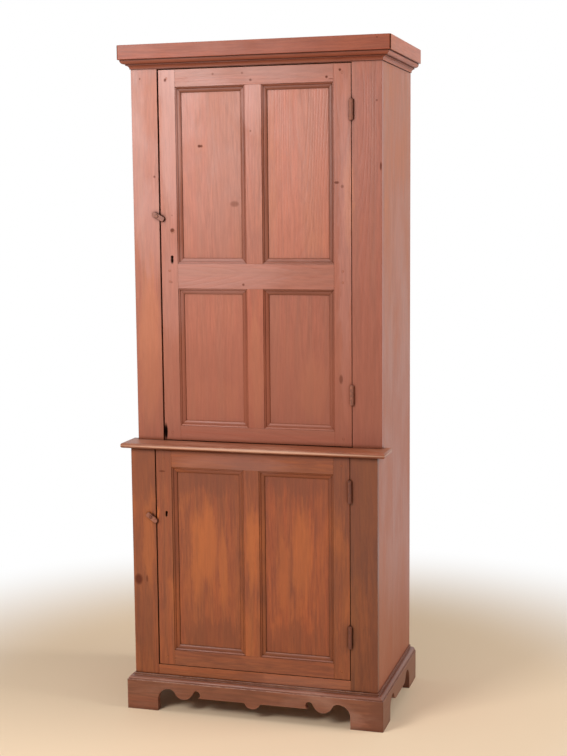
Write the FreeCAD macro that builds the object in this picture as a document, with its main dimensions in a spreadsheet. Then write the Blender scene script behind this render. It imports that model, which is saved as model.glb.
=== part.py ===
"""Step-back jelly cupboard: one carcass with a deep lower case and a shallower upper case.

The carcass is nailed up from edge-joined side boards with shelves housed in dadoes, a face frame,
a waist board over the step, a mitred cornice and a scalloped bracket base. Two framed and panelled
doors hang on butt hinges, lock with rim locks and are held shut by wooden turn buttons.

Case frame: X across, centred; Y back from the lower case's front face; Z up from the floor.
Door frame: X from the door's free edge, Y back from its front face, Z up from its bottom edge.
"""
import FreeCAD
import Part
import os
import re

import Sketcher
from FreeCAD import Placement, Rotation, Vector

SIZES = [
    # Carcass
    ("case_width", 810, "outside width of both cases"),
    ("case_depth", 510, "depth of the lower case, front face to back"),
    ("total_height", 2134, "floor to top of cornice"),
    ("step_back", 66, "how far the upper front stands behind the lower front"),
    ("side_thickness", 22, "side boards"),
    ("side_seam", 222, "edge joint between the two side boards, from the front face"),
    ("case_bottom", 80, "underside of the side boards, above the floor"),
    ("face_thickness", 22, "face frame"),
    ("upper_left_stile", 87, "width of the face stile left of the upper door"),
    ("upper_right_stile", 94, "width of the face stile right of the upper door"),
    ("lower_left_stile", 81, "width of the face stile left of the lower door"),
    ("lower_right_stile", 86, "width of the face stile right of the lower door"),
    ("sill_show", 34, "face rail seen between the base and the lower door"),
    ("frieze_reveal", 2, "face rail seen under the bed moulding"),
    ("waist_level", 880, "top of the waist board"),
    ("waist_thickness", 16, "waist board"),
    ("waist_front_nose", 24, "waist board proud of the lower front"),
    ("waist_side_nose", 27, "waist board proud of the sides"),
    ("waist_nose_radius", 6, "rounding of the waist board's nose"),
    ("waist_housing", 1.5, "upper face frame let into the waist board"),
    ("deck_thickness", 22, "floor of the upper case"),
    ("bottom_thickness", 20, "floor of the lower case"),
    ("shelf_thickness", 20, "shelves"),
    ("door_stop_rise", 6, "floors standing above the rail or waist board, to stop the doors"),
    ("dado_depth", 8, "dadoes in the sides for shelves and floors"),
    ("tongue_thickness", 12, "bare-faced tongues on the ends of shelves and floors"),
    ("low_shelf_rise", 334, "top of the upper case's lowest shelf above its floor"),
    ("high_shelf_drop", 272, "top of the upper case's highest shelf below the top board"),
    ("lower_shelf_rise", 364, "top of the lower case's shelf above its floor"),
    ("back_thickness", 14, "back boards"),
    ("back_rabbet", 12, "rabbet in the sides for the back boards"),
    ("back_lap", 8, "half lap between back boards"),
    ("back_gap", 1, "open joint between back boards"),
    ("back_fit", 0.3, "clearance between lapped back boards"),
    ("top_thickness", 18, "top board"),
    ("top_setdown", 4, "top board below the cornice's top edge"),
    # Cornice
    ("fascia_height", 45, "cornice fascia"),
    ("cornice_overhang", 34, "fascia proud of the front and sides"),
    ("fascia_corner", 4, "clipped off the fascia's front corners"),
    ("bed_root", 3, "thickness of the bed moulding's bottom edge"),
    ("bed_foot", 1, "height of the bed moulding's bottom edge"),
    ("bed_cove", 10, "bed moulding's hollow"),
    ("bed_fillet", 4, "fillet above the hollow"),
    ("bed_step", 3, "step out from that fillet"),
    ("bed_ovolo", 11, "bed moulding's quarter round"),
    ("bed_top_fillet", 2, "fillet above the quarter round"),
    # Bracket base
    ("base_height", 116, "top of the base boards' moulded edge"),
    ("base_proud", 22, "base boards' thickness, outside the case"),
    ("base_flat", 4, "flat along the moulded edge, next to the case"),
    ("base_step", 7, "step down from that flat"),
    ("base_fillet", 3, "fillet below the step"),
    ("base_drop", 8, "height of the moulded edge's ovolo"),
    ("base_ovolo", 10, "radius of the moulded edge's ovolo"),
    ("base_quirk", 3, "step down from the ovolo to the ledge"),
    ("base_ledge", 3, "ledge below the ovolo"),
    ("foot_width", 105, "front feet, seen from the front"),
    ("side_foot_depth", 109, "front feet, seen from the side"),
    ("rear_foot_depth", 114, "rear feet, seen from the side"),
    ("arch_top", 76, "top of the arches beside the feet"),
    ("arch_shoulder", 22, "radius where an arch turns down to its lobe"),
    ("lobe_reach", 89, "centre of a lobe from its foot"),
    ("lobe_radius", 33, "lobes beside the arches"),
    ("lobe_bottom", 44, "lobes' lowest point"),
    ("lobe_rise", 20, "height of a front lobe's inner side, up to its round hole"),
    ("lobe_point", 1.5, "blunt point left between a lobe and its round hole"),
    ("hole_radius", 12.5, "round holes bored in the front apron"),
    ("hole_lip", 6, "how far the holes come back under past their middle"),
    ("apron_edge", 53, "lower edge of the front apron"),
    ("pendant_shoulder", 8, "hollow beside the middle pendant"),
    ("pendant_half", 23, "half width of the middle pendant"),
    ("pendant_drop", 10, "rounded tip of the middle pendant"),
    ("foot_block", 45, "square glue blocks inside the feet"),
    # Door openings
    ("upper_gap_left", 5, "upper door to its left stile"),
    ("upper_gap_right", 2, "upper door to its hinged stile"),
    ("upper_gap_top", 3, "upper door to the frieze rail"),
    ("upper_gap_bottom", 2, "upper door to the waist board"),
    ("lower_gap_left", 4, "lower door to its left stile"),
    ("lower_gap_right", 2, "lower door to its hinged stile"),
    ("lower_gap_top", 4, "lower door to the waist board"),
    ("lower_gap_bottom", 2, "lower door to the sill rail"),
    ("door_stop_gap", 1, "door backs to the shelves that stop them"),
    # Door frames: the flat of each member, without its stuck moulding
    ("upper_stile_flat", 55, "upper door stiles"),
    ("upper_muntin_flat", 53, "upper door muntins"),
    ("upper_top_flat", 54, "upper door top rail"),
    ("upper_lock_flat", 79, "upper door lock rail"),
    ("upper_bottom_flat", 47, "upper door bottom rail"),
    ("upper_short_sight", 408, "height of the upper door's lower panels between mouldings"),
    ("lower_stile_flat", 52, "lower door stiles"),
    ("lower_muntin_flat", 51, "lower door muntin"),
    ("lower_top_flat", 55, "lower door top rail"),
    ("lower_bottom_flat", 50, "lower door bottom rail"),
    ("moulding_width", 17, "stuck moulding round each panel"),
    ("quirk", 1.2, "step down from the flat to the moulding's bead"),
    ("bead_width", 6, "bead's width"),
    ("bead_level", 5, "depth at the foot of the bead"),
    ("bead_radius", 6.5, "bead's rounding"),
    ("fillet_width", 2, "fillet between the bead and the ovolo"),
    ("ovolo_drop", 3, "depth of the inner ovolo"),
    ("lip", 1.5, "moulding's edge standing on the panel"),
    ("groove_depth", 9, "panel grooves"),
    ("groove_slack", 1.2, "groove wider than the panel's edge"),
    ("panel_play", 1, "room for a panel to swell in its groove"),
    ("panel_edge", 5, "thickness of a panel's bevelled edge"),
    ("panel_thickness", 10, "panels"),
    ("panel_bevel", 45, "width of the bevel on a panel's back"),
    ("tenon_thickness", 7, "tenons"),
    ("tenon_setback", 7, "tenons behind the front face"),
    ("tenon_length", 38, "rail tenons"),
    ("tenon_shoulder", 8, "tenons narrower than the rail's flat, each edge"),
    ("muntin_tenon", 18, "muntin tenons"),
    ("mortise_slack", 1, "mortises deeper than their tenons"),
    ("peg_radius", 3.5, "riven pegs through the door joints, centre to flat"),
    ("peg_inset", 27, "pegs from the door's edge"),
    ("peg_spread", 17, "lock rail pegs, either side of the rail's middle"),
    ("plug_radius", 7, "wooden plug in the upper lock stile"),
    ("plug_inset", 40, "plug from the door's free edge"),
    ("plug_rise", 88, "plug above the upper keyhole"),
    # Keyholes and rim locks
    ("upper_key_inset", 36, "upper keyhole from the door's free edge"),
    ("upper_key_rise", 15, "middle of the upper keyhole above the lock rail's flat"),
    ("upper_key_height", 22, "upper keyhole"),
    ("upper_key_radius", 4.5, "round top of the upper keyhole"),
    ("lower_key_inset", 33, "lower keyhole from the door's free edge"),
    ("lower_key_drop", 208, "middle of the lower keyhole below the door's top"),
    ("lower_key_height", 17, "lower keyhole"),
    ("lower_key_radius", 4, "round top of the lower keyhole"),
    ("key_slot", 4.8, "width of the slot below the round"),
    ("lock_inset", 3, "lock cases from the door's free edge"),
    ("lock_width", 56, "lock cases"),
    ("lock_below", 22, "lock cases below the keyhole's middle"),
    ("lock_above", 30, "lock cases above the keyhole's middle"),
    ("lock_thickness", 13, "lock cases"),
    ("lock_wall", 3, "metal left behind the key's well and the bolt"),
    ("bolt_rise", 18, "bolts above the keyhole's middle"),
    ("bolt_height", 12, "bolts"),
    ("bolt_thickness", 5, "bolts"),
    ("bolt_length", 38, "bolts"),
    ("bolt_gap", 0.3, "bolts' running gap in their cases"),
    ("bolt_stub", 2, "bolts' ends showing when drawn back"),
    # Butt hinges
    ("upper_hinge_height", 62, "upper door hinges"),
    ("lower_hinge_height", 70, "lower door hinges"),
    ("upper_hinge_drop", 138, "middle of the upper door's top hinge below its top"),
    ("upper_hinge_rise", 163, "middle of the upper door's bottom hinge above its bottom"),
    ("lower_hinge_drop", 107, "middle of the lower door's top hinge below its top"),
    ("lower_hinge_rise", 138, "middle of the lower door's bottom hinge above its bottom"),
    ("hinge_axis_out", 4, "hinge axes in front of the door's face"),
    ("barrel_radius", 6, "hinge barrels"),
    ("pin_radius", 2.5, "hinge pins"),
    ("pin_clearance", 0.05, "radial clearance of the pins"),
    ("pin_head", 1.5, "pins standing out of the barrel at each end"),
    ("knuckle_gap", 0.3, "gap between knuckles"),
    ("relief_gap", 0.4, "wood cut clear of the barrels"),
    ("leaf_thickness", 2.4, "hinge leaves"),
    ("leaf_depth", 19, "hinge leaves behind the face"),
    # Turn buttons
    ("upper_button_inset", 6, "upper turn button's nail from the stile's free edge"),
    ("upper_button_rise", 136, "upper turn button's nail above the keyhole"),
    ("upper_button_tilt", 28, "upper turn button, its door end down, in degrees"),
    ("lower_button_inset", 16, "lower turn button's nail from the stile's free edge"),
    ("lower_button_drop", 12, "lower turn button's nail below the keyhole"),
    ("lower_button_tilt", 36, "lower turn button, its door end down, in degrees"),
    ("button_length", 43, "turn buttons"),
    ("button_shift", 5, "middle of a turn button from its nail, toward the door"),
    ("button_width", 15, "turn buttons"),
    ("button_thickness", 8, "turn buttons"),
    ("button_corner", 3.5, "turn buttons' clipped corners"),
    ("button_gap", 0.3, "turn buttons' running gap to the stile and the nail's head"),
    ("nail_radius", 1.75, "turn buttons' nails"),
    ("nail_clearance", 0.05, "radial clearance of the nails"),
    ("nail_depth", 18, "nails' length in the stile"),
    ("nail_head_radius", 4.5, "nail heads, centre to flat"),
    ("nail_head_height", 2.5, "nail heads"),
]
KNUCKLES = 3
BACK_BOARDS = 4
# How far a cutter reaches past the faces it opens
OVERCUT = 1
# Two places nearer than this are the same
NEAR = 0.01
# The least volume a pocket takes away
LEAST_CUT = 0.001

# Places worked out from the sizes, as spreadsheet expressions
HALF = "(case_width / 2)"
INNER = "(case_width / 2 - side_thickness)"
CASE_Y = "((max(waist_front_nose; base_proud) - case_depth) / 2)"
UPPER_FACE_BACK = "(step_back + face_thickness)"
BACK_FRONT = "(case_depth - back_thickness)"
WAIST_BOTTOM = "(waist_level - waist_thickness)"
DECK_TOP = "(waist_level + door_stop_rise)"
SILL_TOP = "(base_height + sill_show)"
BOTTOM_TOP = "(base_height + sill_show + door_stop_rise)"
TOP_BOTTOM = "(total_height - top_setdown - top_thickness)"
FASCIA_BOTTOM = "(total_height - fascia_height)"
BED_HEIGHT = "(bed_foot + bed_cove + bed_fillet + bed_ovolo + bed_top_fillet)"
BED_BOTTOM = "(total_height - fascia_height - " + BED_HEIGHT + ")"
BED_OUT = "(bed_root + bed_cove + bed_step + bed_ovolo)"
FRIEZE_BOTTOM = "(" + BED_BOTTOM + " - frieze_reveal)"
DOOR_THICKNESS = "(face_thickness - door_stop_gap)"
PANEL_RECESS = "(bead_level + ovolo_drop + lip)"
LOWER_SHELF_TOP = "(" + BOTTOM_TOP + " + lower_shelf_rise)"
LOW_SHELF_TOP = "(" + DECK_TOP + " + low_shelf_rise)"
HIGH_SHELF_TOP = "(" + TOP_BOTTOM + " - high_shelf_drop)"
MIDDLE_SHELF_TOP = "((" + LOW_SHELF_TOP + " + " + HIGH_SHELF_TOP + ") / 2)"
LOCK_RAIL_TOP = "(upper_bottom_flat + upper_short_sight + upper_lock_flat + 2 * moulding_width)"
DOOR_LOW = {
    "upper": "(waist_level + upper_gap_bottom)",
    "lower": "(" + SILL_TOP + " + lower_gap_bottom)",
}
DOOR_HIGH = {
    "upper": "(" + FRIEZE_BOTTOM + " - upper_gap_top)",
    "lower": "(" + WAIST_BOTTOM + " - lower_gap_top)",
}
KEY_LEVEL = {
    "upper": "(" + DOOR_LOW["upper"] + " + " + LOCK_RAIL_TOP + " + upper_key_rise)",
    "lower": "(" + DOOR_HIGH["lower"] + " - lower_key_drop)",
}
BUTTON_LEVEL = {
    "upper": "(" + KEY_LEVEL["upper"] + " + upper_button_rise)",
    "lower": "(" + KEY_LEVEL["lower"] + " - lower_button_drop)",
}

ALIASES = {alias for alias, size, note in SIZES}
WORD = re.compile(r"[a-z][a-z_]*")

doc = FreeCAD.newDocument("jelly_cupboard")
sheet = doc.addObject("Spreadsheet::Sheet", "sizes")
for row, (alias, size, note) in enumerate(SIZES, start=1):
    sheet.set("A%d" % row, note)
    sheet.set("B%d" % row, str(size))
    sheet.setAlias("B%d" % row, alias)
doc.recompute()
PARTS = []


# ---------------------------------------------------------------- expressions and sketches
def bound(text):
    """The expression with each size named as a cell of the sheet."""
    def cell(word):
        return "sizes." + word.group() if word.group() in ALIASES else word.group()

    return WORD.sub(cell, str(text))


def value(text):
    """The expression's present value."""
    return float(sheet.evalExpression(bound(text)))


def new_body(label, x="0", y="0", z="0"):
    """An empty body whose own frame stands at x, y, z of the part."""
    body = doc.addObject("PartDesign::Body", label)
    body.Label = label
    for axis, text in zip("xyz", (x, y, z)):
        body.setExpression("Placement.Base." + axis, bound(text))
    PARTS.append(body)
    return body


def case_body(label):
    """An empty body in the case frame."""
    return new_body(label, y=CASE_Y)


def arc_between(start, end, radius, turn):
    """The arc from start to end, turning left (turn 1) or right (turn -1).

    Turn is doubled where the arc is over a half circle.
    """
    chord = end - start
    half = chord.Length / 2
    rise = max(radius * radius - half * half, 0) ** 0.5
    left = Vector(-chord.y, chord.x, 0).normalize()
    side = turn if abs(turn) == 1 else -turn / 2
    centre = (start + end) / 2 + left * rise * side
    first, last = (start, end) if turn > 0 else (end, start)
    circle = Part.Circle(centre, Vector(0, 0, 1), radius)
    return Part.ArcOfCircle(circle, circle.parameter(first), circle.parameter(last))


def draw(sketch, corners):
    """Close a loop. A corner is (x, y), or (x, y, radius, turn) where an arc leads to the next one."""
    spots = [Vector(value(corner[0]), value(corner[1]), 0) for corner in corners]
    ends = []
    for index, corner in enumerate(corners):
        start, end = spots[index], spots[(index + 1) % len(spots)]
        if len(corner) == 2:
            edge = sketch.addGeometry(Part.LineSegment(start, end), False)
            ends.append((edge, 1, 2))
            continue
        edge = sketch.addGeometry(arc_between(start, end, value(corner[2]), corner[3]), False)
        ends.append((edge, 1, 2) if corner[3] > 0 else (edge, 2, 1))
        bind(sketch, Sketcher.Constraint("Radius", edge, value(corner[2])), corner[2])
    for index, (edge, start, end) in enumerate(ends):
        following = ends[(index + 1) % len(ends)]
        sketch.addConstraint(Sketcher.Constraint("Coincident", edge, end, following[0], following[1]))
        for kind, text in zip(("DistanceX", "DistanceY"), corners[index][:2]):
            bind(sketch, Sketcher.Constraint(kind, -1, 1, edge, start, value(text)), text)


def draw_circle(sketch, x, y, radius):
    """A bound circle."""
    centre = Vector(value(x), value(y), 0)
    edge = sketch.addGeometry(Part.Circle(centre, Vector(0, 0, 1), value(radius)), False)
    bind(sketch, Sketcher.Constraint("Radius", edge, value(radius)), radius)
    bind(sketch, Sketcher.Constraint("DistanceX", -1, 1, edge, 3, centre.x), x)
    bind(sketch, Sketcher.Constraint("DistanceY", -1, 1, edge, 3, centre.y), y)


def bind(sketch, constraint, text):
    """Add the constraint and tie it to its expression."""
    index = sketch.addConstraint(constraint)
    sketch.setExpression("Constraints[%d]" % index, bound(text))


def new_sketch(body, role, offset, loops):
    """A sketch parallel to one of the body's origin planes, offset along +X, +Y or +Z.

    Loops are lists of corners, or (x, y, radius) for a circle. Sketch axes are X and Y on XY_Plane,
    X and Z on XZ_Plane, Y and Z on YZ_Plane.
    """
    plane = [item for item in body.Origin.OriginFeatures if item.Role == role][0]
    sketch = body.newObject("Sketcher::SketchObject", body.Label + "_outline")
    sketch.AttachmentSupport = [(plane, "")]
    sketch.MapMode = "FlatFace"
    sign = "-1" if role == "XZ_Plane" else "1"
    sketch.setExpression("AttachmentOffset.Base.z", bound(sign + " * (" + offset + ")"))
    for loop in loops:
        if isinstance(loop, tuple):
            draw_circle(sketch, *loop)
        else:
            draw(sketch, loop)
    return sketch


def grow(body, role, offset, length, *loops):
    """Pad loops from the offset plane, by length along +X, +Y or +Z."""
    feature = body.newObject("PartDesign::Pad", body.Label + "_pad")
    feature.Profile = new_sketch(body, role, offset, loops)
    feature.Reversed = role == "XZ_Plane"
    feature.setExpression("Length", bound(length))


def cut(body, role, offset, length, *loops):
    """Pocket loops from the offset plane, by length along +X, +Y or +Z."""
    feature = body.newObject("PartDesign::Pocket", body.Label + "_pocket")
    feature.Profile = new_sketch(body, role, offset, loops)
    feature.Reversed = role != "XZ_Plane"
    feature.setExpression("Length", bound(length))


def rectangle(x_low, y_low, x_high, y_high):
    """Corners of a rectangle."""
    return [(x_low, y_low), (x_high, y_low), (x_high, y_high), (x_low, y_high)]


def octagon(x, y, radius):
    """Corners of an octagon, radius from its centre to its flats."""
    short = radius + " * (sqrt(2) - 1)"
    steps = [(radius, short), (short, radius)]
    steps += [(times(-1, across), up) for across, up in reversed(steps)]
    steps += [(times(-1, across), times(-1, up)) for across, up in steps]
    return [(plus(x, across), plus(y, up)) for across, up in steps]


def plus(*terms):
    """The sum of expressions."""
    return "(" + " + ".join("(" + str(term) + ")" for term in terms) + ")"


def minus(first, *rest):
    """The first expression less the others."""
    return "(" + " - ".join("(" + str(term) + ")" for term in (first,) + rest) + ")"


def times(factor, text):
    """A plain factor times an expression."""
    return "(%s * (%s))" % (factor, text)


# ---------------------------------------------------------------- carcass
SHELVES = [
    # name, underside, thickness, front edge
    ("bottom_board", minus(BOTTOM_TOP, "bottom_thickness"), "bottom_thickness", "face_thickness"),
    ("lower_shelf", minus(LOWER_SHELF_TOP, "shelf_thickness"), "shelf_thickness", "face_thickness"),
    ("deck_board", minus(DECK_TOP, "deck_thickness"), "deck_thickness", UPPER_FACE_BACK),
    ("upper_shelf_low", minus(LOW_SHELF_TOP, "shelf_thickness"), "shelf_thickness", UPPER_FACE_BACK),
    ("upper_shelf_middle", minus(MIDDLE_SHELF_TOP, "shelf_thickness"), "shelf_thickness", UPPER_FACE_BACK),
    ("upper_shelf_high", minus(HIGH_SHELF_TOP, "shelf_thickness"), "shelf_thickness", UPPER_FACE_BACK),
]


def make_sides():
    """Each side is two edge-joined boards: the front one is notched at the waist for the step."""
    front = [
        ("face_thickness", "case_bottom"), ("side_seam", "case_bottom"), ("side_seam", TOP_BOTTOM),
        (UPPER_FACE_BACK, TOP_BOTTOM), (UPPER_FACE_BACK, WAIST_BOTTOM),
        ("face_thickness", WAIST_BOTTOM),
    ]
    rear = rectangle("side_seam", "case_bottom", "case_depth", TOP_BOTTOM)
    rabbet = rectangle(BACK_FRONT, "case_bottom", "case_depth", TOP_BOTTOM)
    front_dadoes, rear_dadoes = [], []
    for name, low, deep, edge in SHELVES:
        high = plus(low, "tongue_thickness")
        front_dadoes.append(rectangle(edge, low, "side_seam", high))
        rear_dadoes.append(rectangle("side_seam", low, BACK_FRONT, high))
    for side in ("left", "right"):
        outer = times(-1, HALF) if side == "left" else INNER
        dado = times(-1, plus(INNER, "dado_depth")) if side == "left" else INNER
        rebate = times(-1, plus(INNER, "back_rabbet")) if side == "left" else INNER
        board = case_body(side + "_side_front_board")
        grow(board, "YZ_Plane", outer, "side_thickness", front)
        cut(board, "YZ_Plane", dado, "dado_depth", *front_dadoes)
        board = case_body(side + "_side_rear_board")
        grow(board, "YZ_Plane", outer, "side_thickness", rear)
        cut(board, "YZ_Plane", dado, "dado_depth", *rear_dadoes)
        cut(board, "YZ_Plane", rebate, "back_rabbet", rabbet)


def make_shelves():
    """Shelves and floors fit between the sides, with a bare-faced tongue at each end in a dado."""
    for name, low, deep, edge in SHELVES:
        reach = plus(INNER, "dado_depth")
        board = case_body(name)
        grow(board, "XY_Plane", low, deep, rectangle(times(-1, INNER), edge, INNER, BACK_FRONT))
        grow(board, "XY_Plane", low, "tongue_thickness",
             rectangle(times(-1, reach), edge, reach, BACK_FRONT))


def make_back():
    """Vertical half-lapped back boards in the sides' rabbets."""
    reach = plus(INNER, "back_rabbet")
    pitch = "(2 * %s / %d)" % (reach, BACK_BOARDS)
    middle = minus("case_depth", "back_thickness / 2")
    tongue_back, rebate_back = minus(middle, "back_fit / 2"), plus(middle, "back_fit / 2")
    loops = []
    for index in range(BACK_BOARDS):
        left = minus(times(index, pitch), reach)
        right = plus(left, pitch)
        left_edge = [(left, "case_depth"), (left, BACK_FRONT)]
        right_edge = [(right, BACK_FRONT), (right, "case_depth")]
        if index > 0:
            gap, lap = plus(left, "back_gap"), plus(left, "back_lap")
            left_edge = [(gap, "case_depth"), (gap, rebate_back), (lap, rebate_back), (lap, BACK_FRONT)]
        if index < BACK_BOARDS - 1:
            lap = plus(right, "back_lap - back_gap")
            right_edge = [(lap, BACK_FRONT), (lap, tongue_back), (right, tongue_back), (right, "case_depth")]
        loops.append(left_edge + right_edge)
    grow(case_body("back_boards"), "XY_Plane", "case_bottom", minus(TOP_BOTTOM, "case_bottom"), *loops)


def make_face_frame():
    """Stiles and rails on the front edges of the sides. The rails are tenoned into the stiles."""
    housed = minus("waist_level", "waist_housing")
    upper = ("upper", "step_back", housed, TOP_BOTTOM, FRIEZE_BOTTOM, TOP_BOTTOM, "frieze_rail")
    lower = ("lower", "0", "case_bottom", WAIST_BOTTOM, "case_bottom", SILL_TOP, "sill_rail")
    for level, front, low, high, rail_low, rail_high, rail_name in (upper, lower):
        left_inner = minus(level + "_left_stile", HALF)
        right_inner = minus(HALF, level + "_right_stile")
        tenon = plus(front, "tenon_setback")
        tenon_low = plus(rail_low, "tenon_shoulder")
        tenon_high = minus(rail_high, "tenon_shoulder")
        mortise = plus("tenon_length", "mortise_slack")
        left = case_body(level + "_left_face_stile")
        grow(left, "XZ_Plane", front, "face_thickness", rectangle(times(-1, HALF), low, left_inner, high))
        cut(left, "XZ_Plane", tenon, "tenon_thickness",
            rectangle(minus(left_inner, mortise), tenon_low, left_inner, tenon_high))
        button = minus(left_inner, level + "_button_inset")
        cut(left, "XZ_Plane", front, "nail_depth", (button, BUTTON_LEVEL[level], "nail_radius"))
        right = case_body(level + "_right_face_stile")
        grow(right, "XZ_Plane", front, "face_thickness", rectangle(right_inner, low, HALF, high))
        cut(right, "XZ_Plane", tenon, "tenon_thickness",
            rectangle(right_inner, tenon_low, plus(right_inner, mortise), tenon_high))
        axis = (minus(right_inner, level + "_gap_right / 2"), minus(front, "hinge_axis_out"))
        leaf = rectangle(right_inner, front, plus(right_inner, "leaf_thickness"), plus(front, "leaf_depth"))
        hinge_recesses(right, level, "0", axis, leaf)
        rail = case_body(rail_name)
        grow(rail, "XZ_Plane", front, "face_thickness",
             rectangle(left_inner, rail_low, right_inner, rail_high))
        grow(rail, "XZ_Plane", tenon, "tenon_thickness",
             rectangle(minus(left_inner, "tenon_length"), tenon_low,
                       plus(right_inner, "tenon_length"), tenon_high))


def hinge_bottoms(level):
    """Undersides of a door's top and bottom hinges."""
    half = level + "_hinge_height / 2"
    return (minus(DOOR_HIGH[level], level + "_hinge_drop", half),
            minus(plus(DOOR_LOW[level], level + "_hinge_rise"), half))


def hinge_recesses(body, level, floor, axis, leaf):
    """Let a stile's edge take the hinge leaves and clear the barrels. Floor is Z of the body's frame."""
    for bottom in hinge_bottoms(level):
        low = minus(bottom, floor)
        cut(body, "XY_Plane", low, level + "_hinge_height", leaf)
        cut(body, "XY_Plane", minus(low, "relief_gap"), plus(level + "_hinge_height", "2 * relief_gap"),
            (axis[0], axis[1], plus("barrel_radius", "relief_gap")))


def make_waist_board():
    """The waist board covers the step, with a rounded nose on its front and both returns.

    The upper face frame stands in a shallow housing along its back edge.
    """
    reach = plus(HALF, "waist_side_nose")
    front = times(-1, "waist_front_nose")
    board = case_body("waist_board")
    grow(board, "XY_Plane", WAIST_BOTTOM, "waist_thickness",
         rectangle(times(-1, reach), front, reach, UPPER_FACE_BACK))
    doc.recompute()
    pad = board.Tip
    rear = value(UPPER_FACE_BACK)
    nose = []
    for number, edge in enumerate(pad.Shape.Edges, start=1):
        box = edge.BoundBox
        if box.ZLength < NEAR and box.YMin < rear - NEAR:
            nose.append("Edge%d" % number)
    feature = board.newObject("PartDesign::Fillet", "waist_board_nose")
    feature.Base = (pad, nose)
    feature.setExpression("Radius", bound("waist_nose_radius"))
    cut(board, "XY_Plane", minus("waist_level", "waist_housing"), plus("waist_housing", OVERCUT),
        rectangle(times(-1, HALF), "step_back", HALF, plus(UPPER_FACE_BACK, OVERCUT)))


def make_top_board():
    """The top board lies on the sides and the frieze rail, set down inside the cornice."""
    board = case_body("top_board")
    grow(board, "XY_Plane", TOP_BOTTOM, "top_thickness",
         rectangle(times(-1, HALF), "step_back", HALF, "case_depth"))


# ---------------------------------------------------------------- cornice
def make_fascias():
    """The cornice's plain fascia, mitred at the clipped front corners."""
    outer = plus(HALF, "cornice_overhang")
    front = minus("step_back", "cornice_overhang")
    straight = minus(outer, "fascia_corner")
    mitre_x, mitre_y = minus(outer, "fascia_corner / 2"), plus(front, "fascia_corner / 2")
    fascia = case_body("cornice_fascia_front")
    grow(fascia, "XY_Plane", FASCIA_BOTTOM, "fascia_height", [
        (times(-1, mitre_x), mitre_y), (times(-1, straight), front), (straight, front), (mitre_x, mitre_y),
        (HALF, "step_back"), (times(-1, HALF), "step_back"),
    ])
    for side, sign in (("left", -1), ("right", 1)):
        fascia = case_body("cornice_fascia_" + side)
        grow(fascia, "XY_Plane", FASCIA_BOTTOM, "fascia_height", [
            (times(sign, mitre_x), mitre_y), (times(sign, outer), plus(front, "fascia_corner")),
            (times(sign, outer), "case_depth"),
            (times(sign, HALF), "case_depth"), (times(sign, HALF), "step_back"),
        ])


def bed_profile(face, sign):
    """Section of the bed moulding: a quarter round over a hollow, on a face that looks along sign."""
    fillet_out = plus("bed_root", "bed_cove")
    fillet_low = plus("bed_foot", "bed_cove")
    fillet_high = plus(fillet_low, "bed_fillet")
    steps = [
        # out, up, and the arc to the next corner
        ("0", "0"),
        ("bed_root", "0"),
        ("bed_root", "bed_foot", "bed_cove", -1),
        (fillet_out, fillet_low),
        (fillet_out, fillet_high),
        (plus(fillet_out, "bed_step"), fillet_high, "bed_ovolo", 1),
        (BED_OUT, plus(fillet_high, "bed_ovolo")),
        (BED_OUT, BED_HEIGHT),
        ("0", BED_HEIGHT),
    ]
    corners = []
    for step in steps:
        spot = (plus(face, times(sign, step[0])), plus(BED_BOTTOM, step[1]))
        corners.append(spot + ((step[2], step[3] * sign) if len(step) > 2 else ()))
    return corners


def make_bed_mouldings():
    """The bed moulding under the fascia, mitred at the front corners."""
    outer = plus(HALF, BED_OUT)
    front = minus("step_back", BED_OUT)
    moulding = case_body("bed_moulding_front")
    grow(moulding, "YZ_Plane", times(-1, outer), times(2, outer), bed_profile("step_back", -1))
    for sign in (-1, 1):
        cut(moulding, "XY_Plane", BED_BOTTOM, BED_HEIGHT, [
            (times(sign, plus(outer, OVERCUT)), minus(front, OVERCUT)),
            (times(sign, plus(outer, OVERCUT)), plus("step_back", OVERCUT)),
            (times(sign, minus(HALF, OVERCUT)), plus("step_back", OVERCUT)),
        ])
    for side, sign in (("left", -1), ("right", 1)):
        moulding = case_body("bed_moulding_" + side)
        grow(moulding, "XZ_Plane", front, minus("case_depth", front), bed_profile(times(sign, HALF), sign))
        cut(moulding, "XY_Plane", BED_BOTTOM, BED_HEIGHT, [
            (times(sign, plus(outer, OVERCUT)), minus(front, OVERCUT)),
            (times(sign, minus(HALF, OVERCUT)), plus("step_back", OVERCUT)),
            (times(sign, minus(HALF, OVERCUT)), minus(front, OVERCUT)),
        ])


# ---------------------------------------------------------------- bracket base
LOBE_CENTRE = plus("lobe_bottom", "lobe_radius")
SHOULDER_CENTRE = minus("arch_top", "arch_shoulder")
SHOULDER_RUN = ("(sqrt((arch_shoulder + lobe_radius) ^ 2 - (lobe_bottom + lobe_radius - arch_top"
                " + arch_shoulder) ^ 2))")
SHOULDER_SHARE = "(arch_shoulder / (arch_shoulder + lobe_radius))"


def arch(foot, lobe, toward):
    """The edge from a foot's floor line to its lobe. Toward is 1 where the lobe is at greater x."""
    crown = minus(lobe, times(toward, SHOULDER_RUN))
    spring = times(toward, minus(crown, foot))
    touch_x = plus(crown, times(toward, SHOULDER_RUN + " * " + SHOULDER_SHARE))
    touch_z = plus(SHOULDER_CENTRE, minus(LOBE_CENTRE, SHOULDER_CENTRE) + " * " + SHOULDER_SHARE)
    return [
        (foot, "0"),
        (foot, minus("arch_top", spring), spring, -1),
        (crown, "arch_top", "arch_shoulder", -1),
        (touch_x, touch_z, "lobe_radius", 1),
    ]


def mirrored(corners, about):
    """The same edge seen in a mirror at x = about, run the other way."""
    turned = []
    for index in range(len(corners) - 1, -1, -1):
        spot = (minus(about, minus(corners[index][0], about)), corners[index][1])
        bend = corners[index - 1][2:] if index > 0 else ()
        turned.append(spot + tuple(bend))
    return turned


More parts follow.
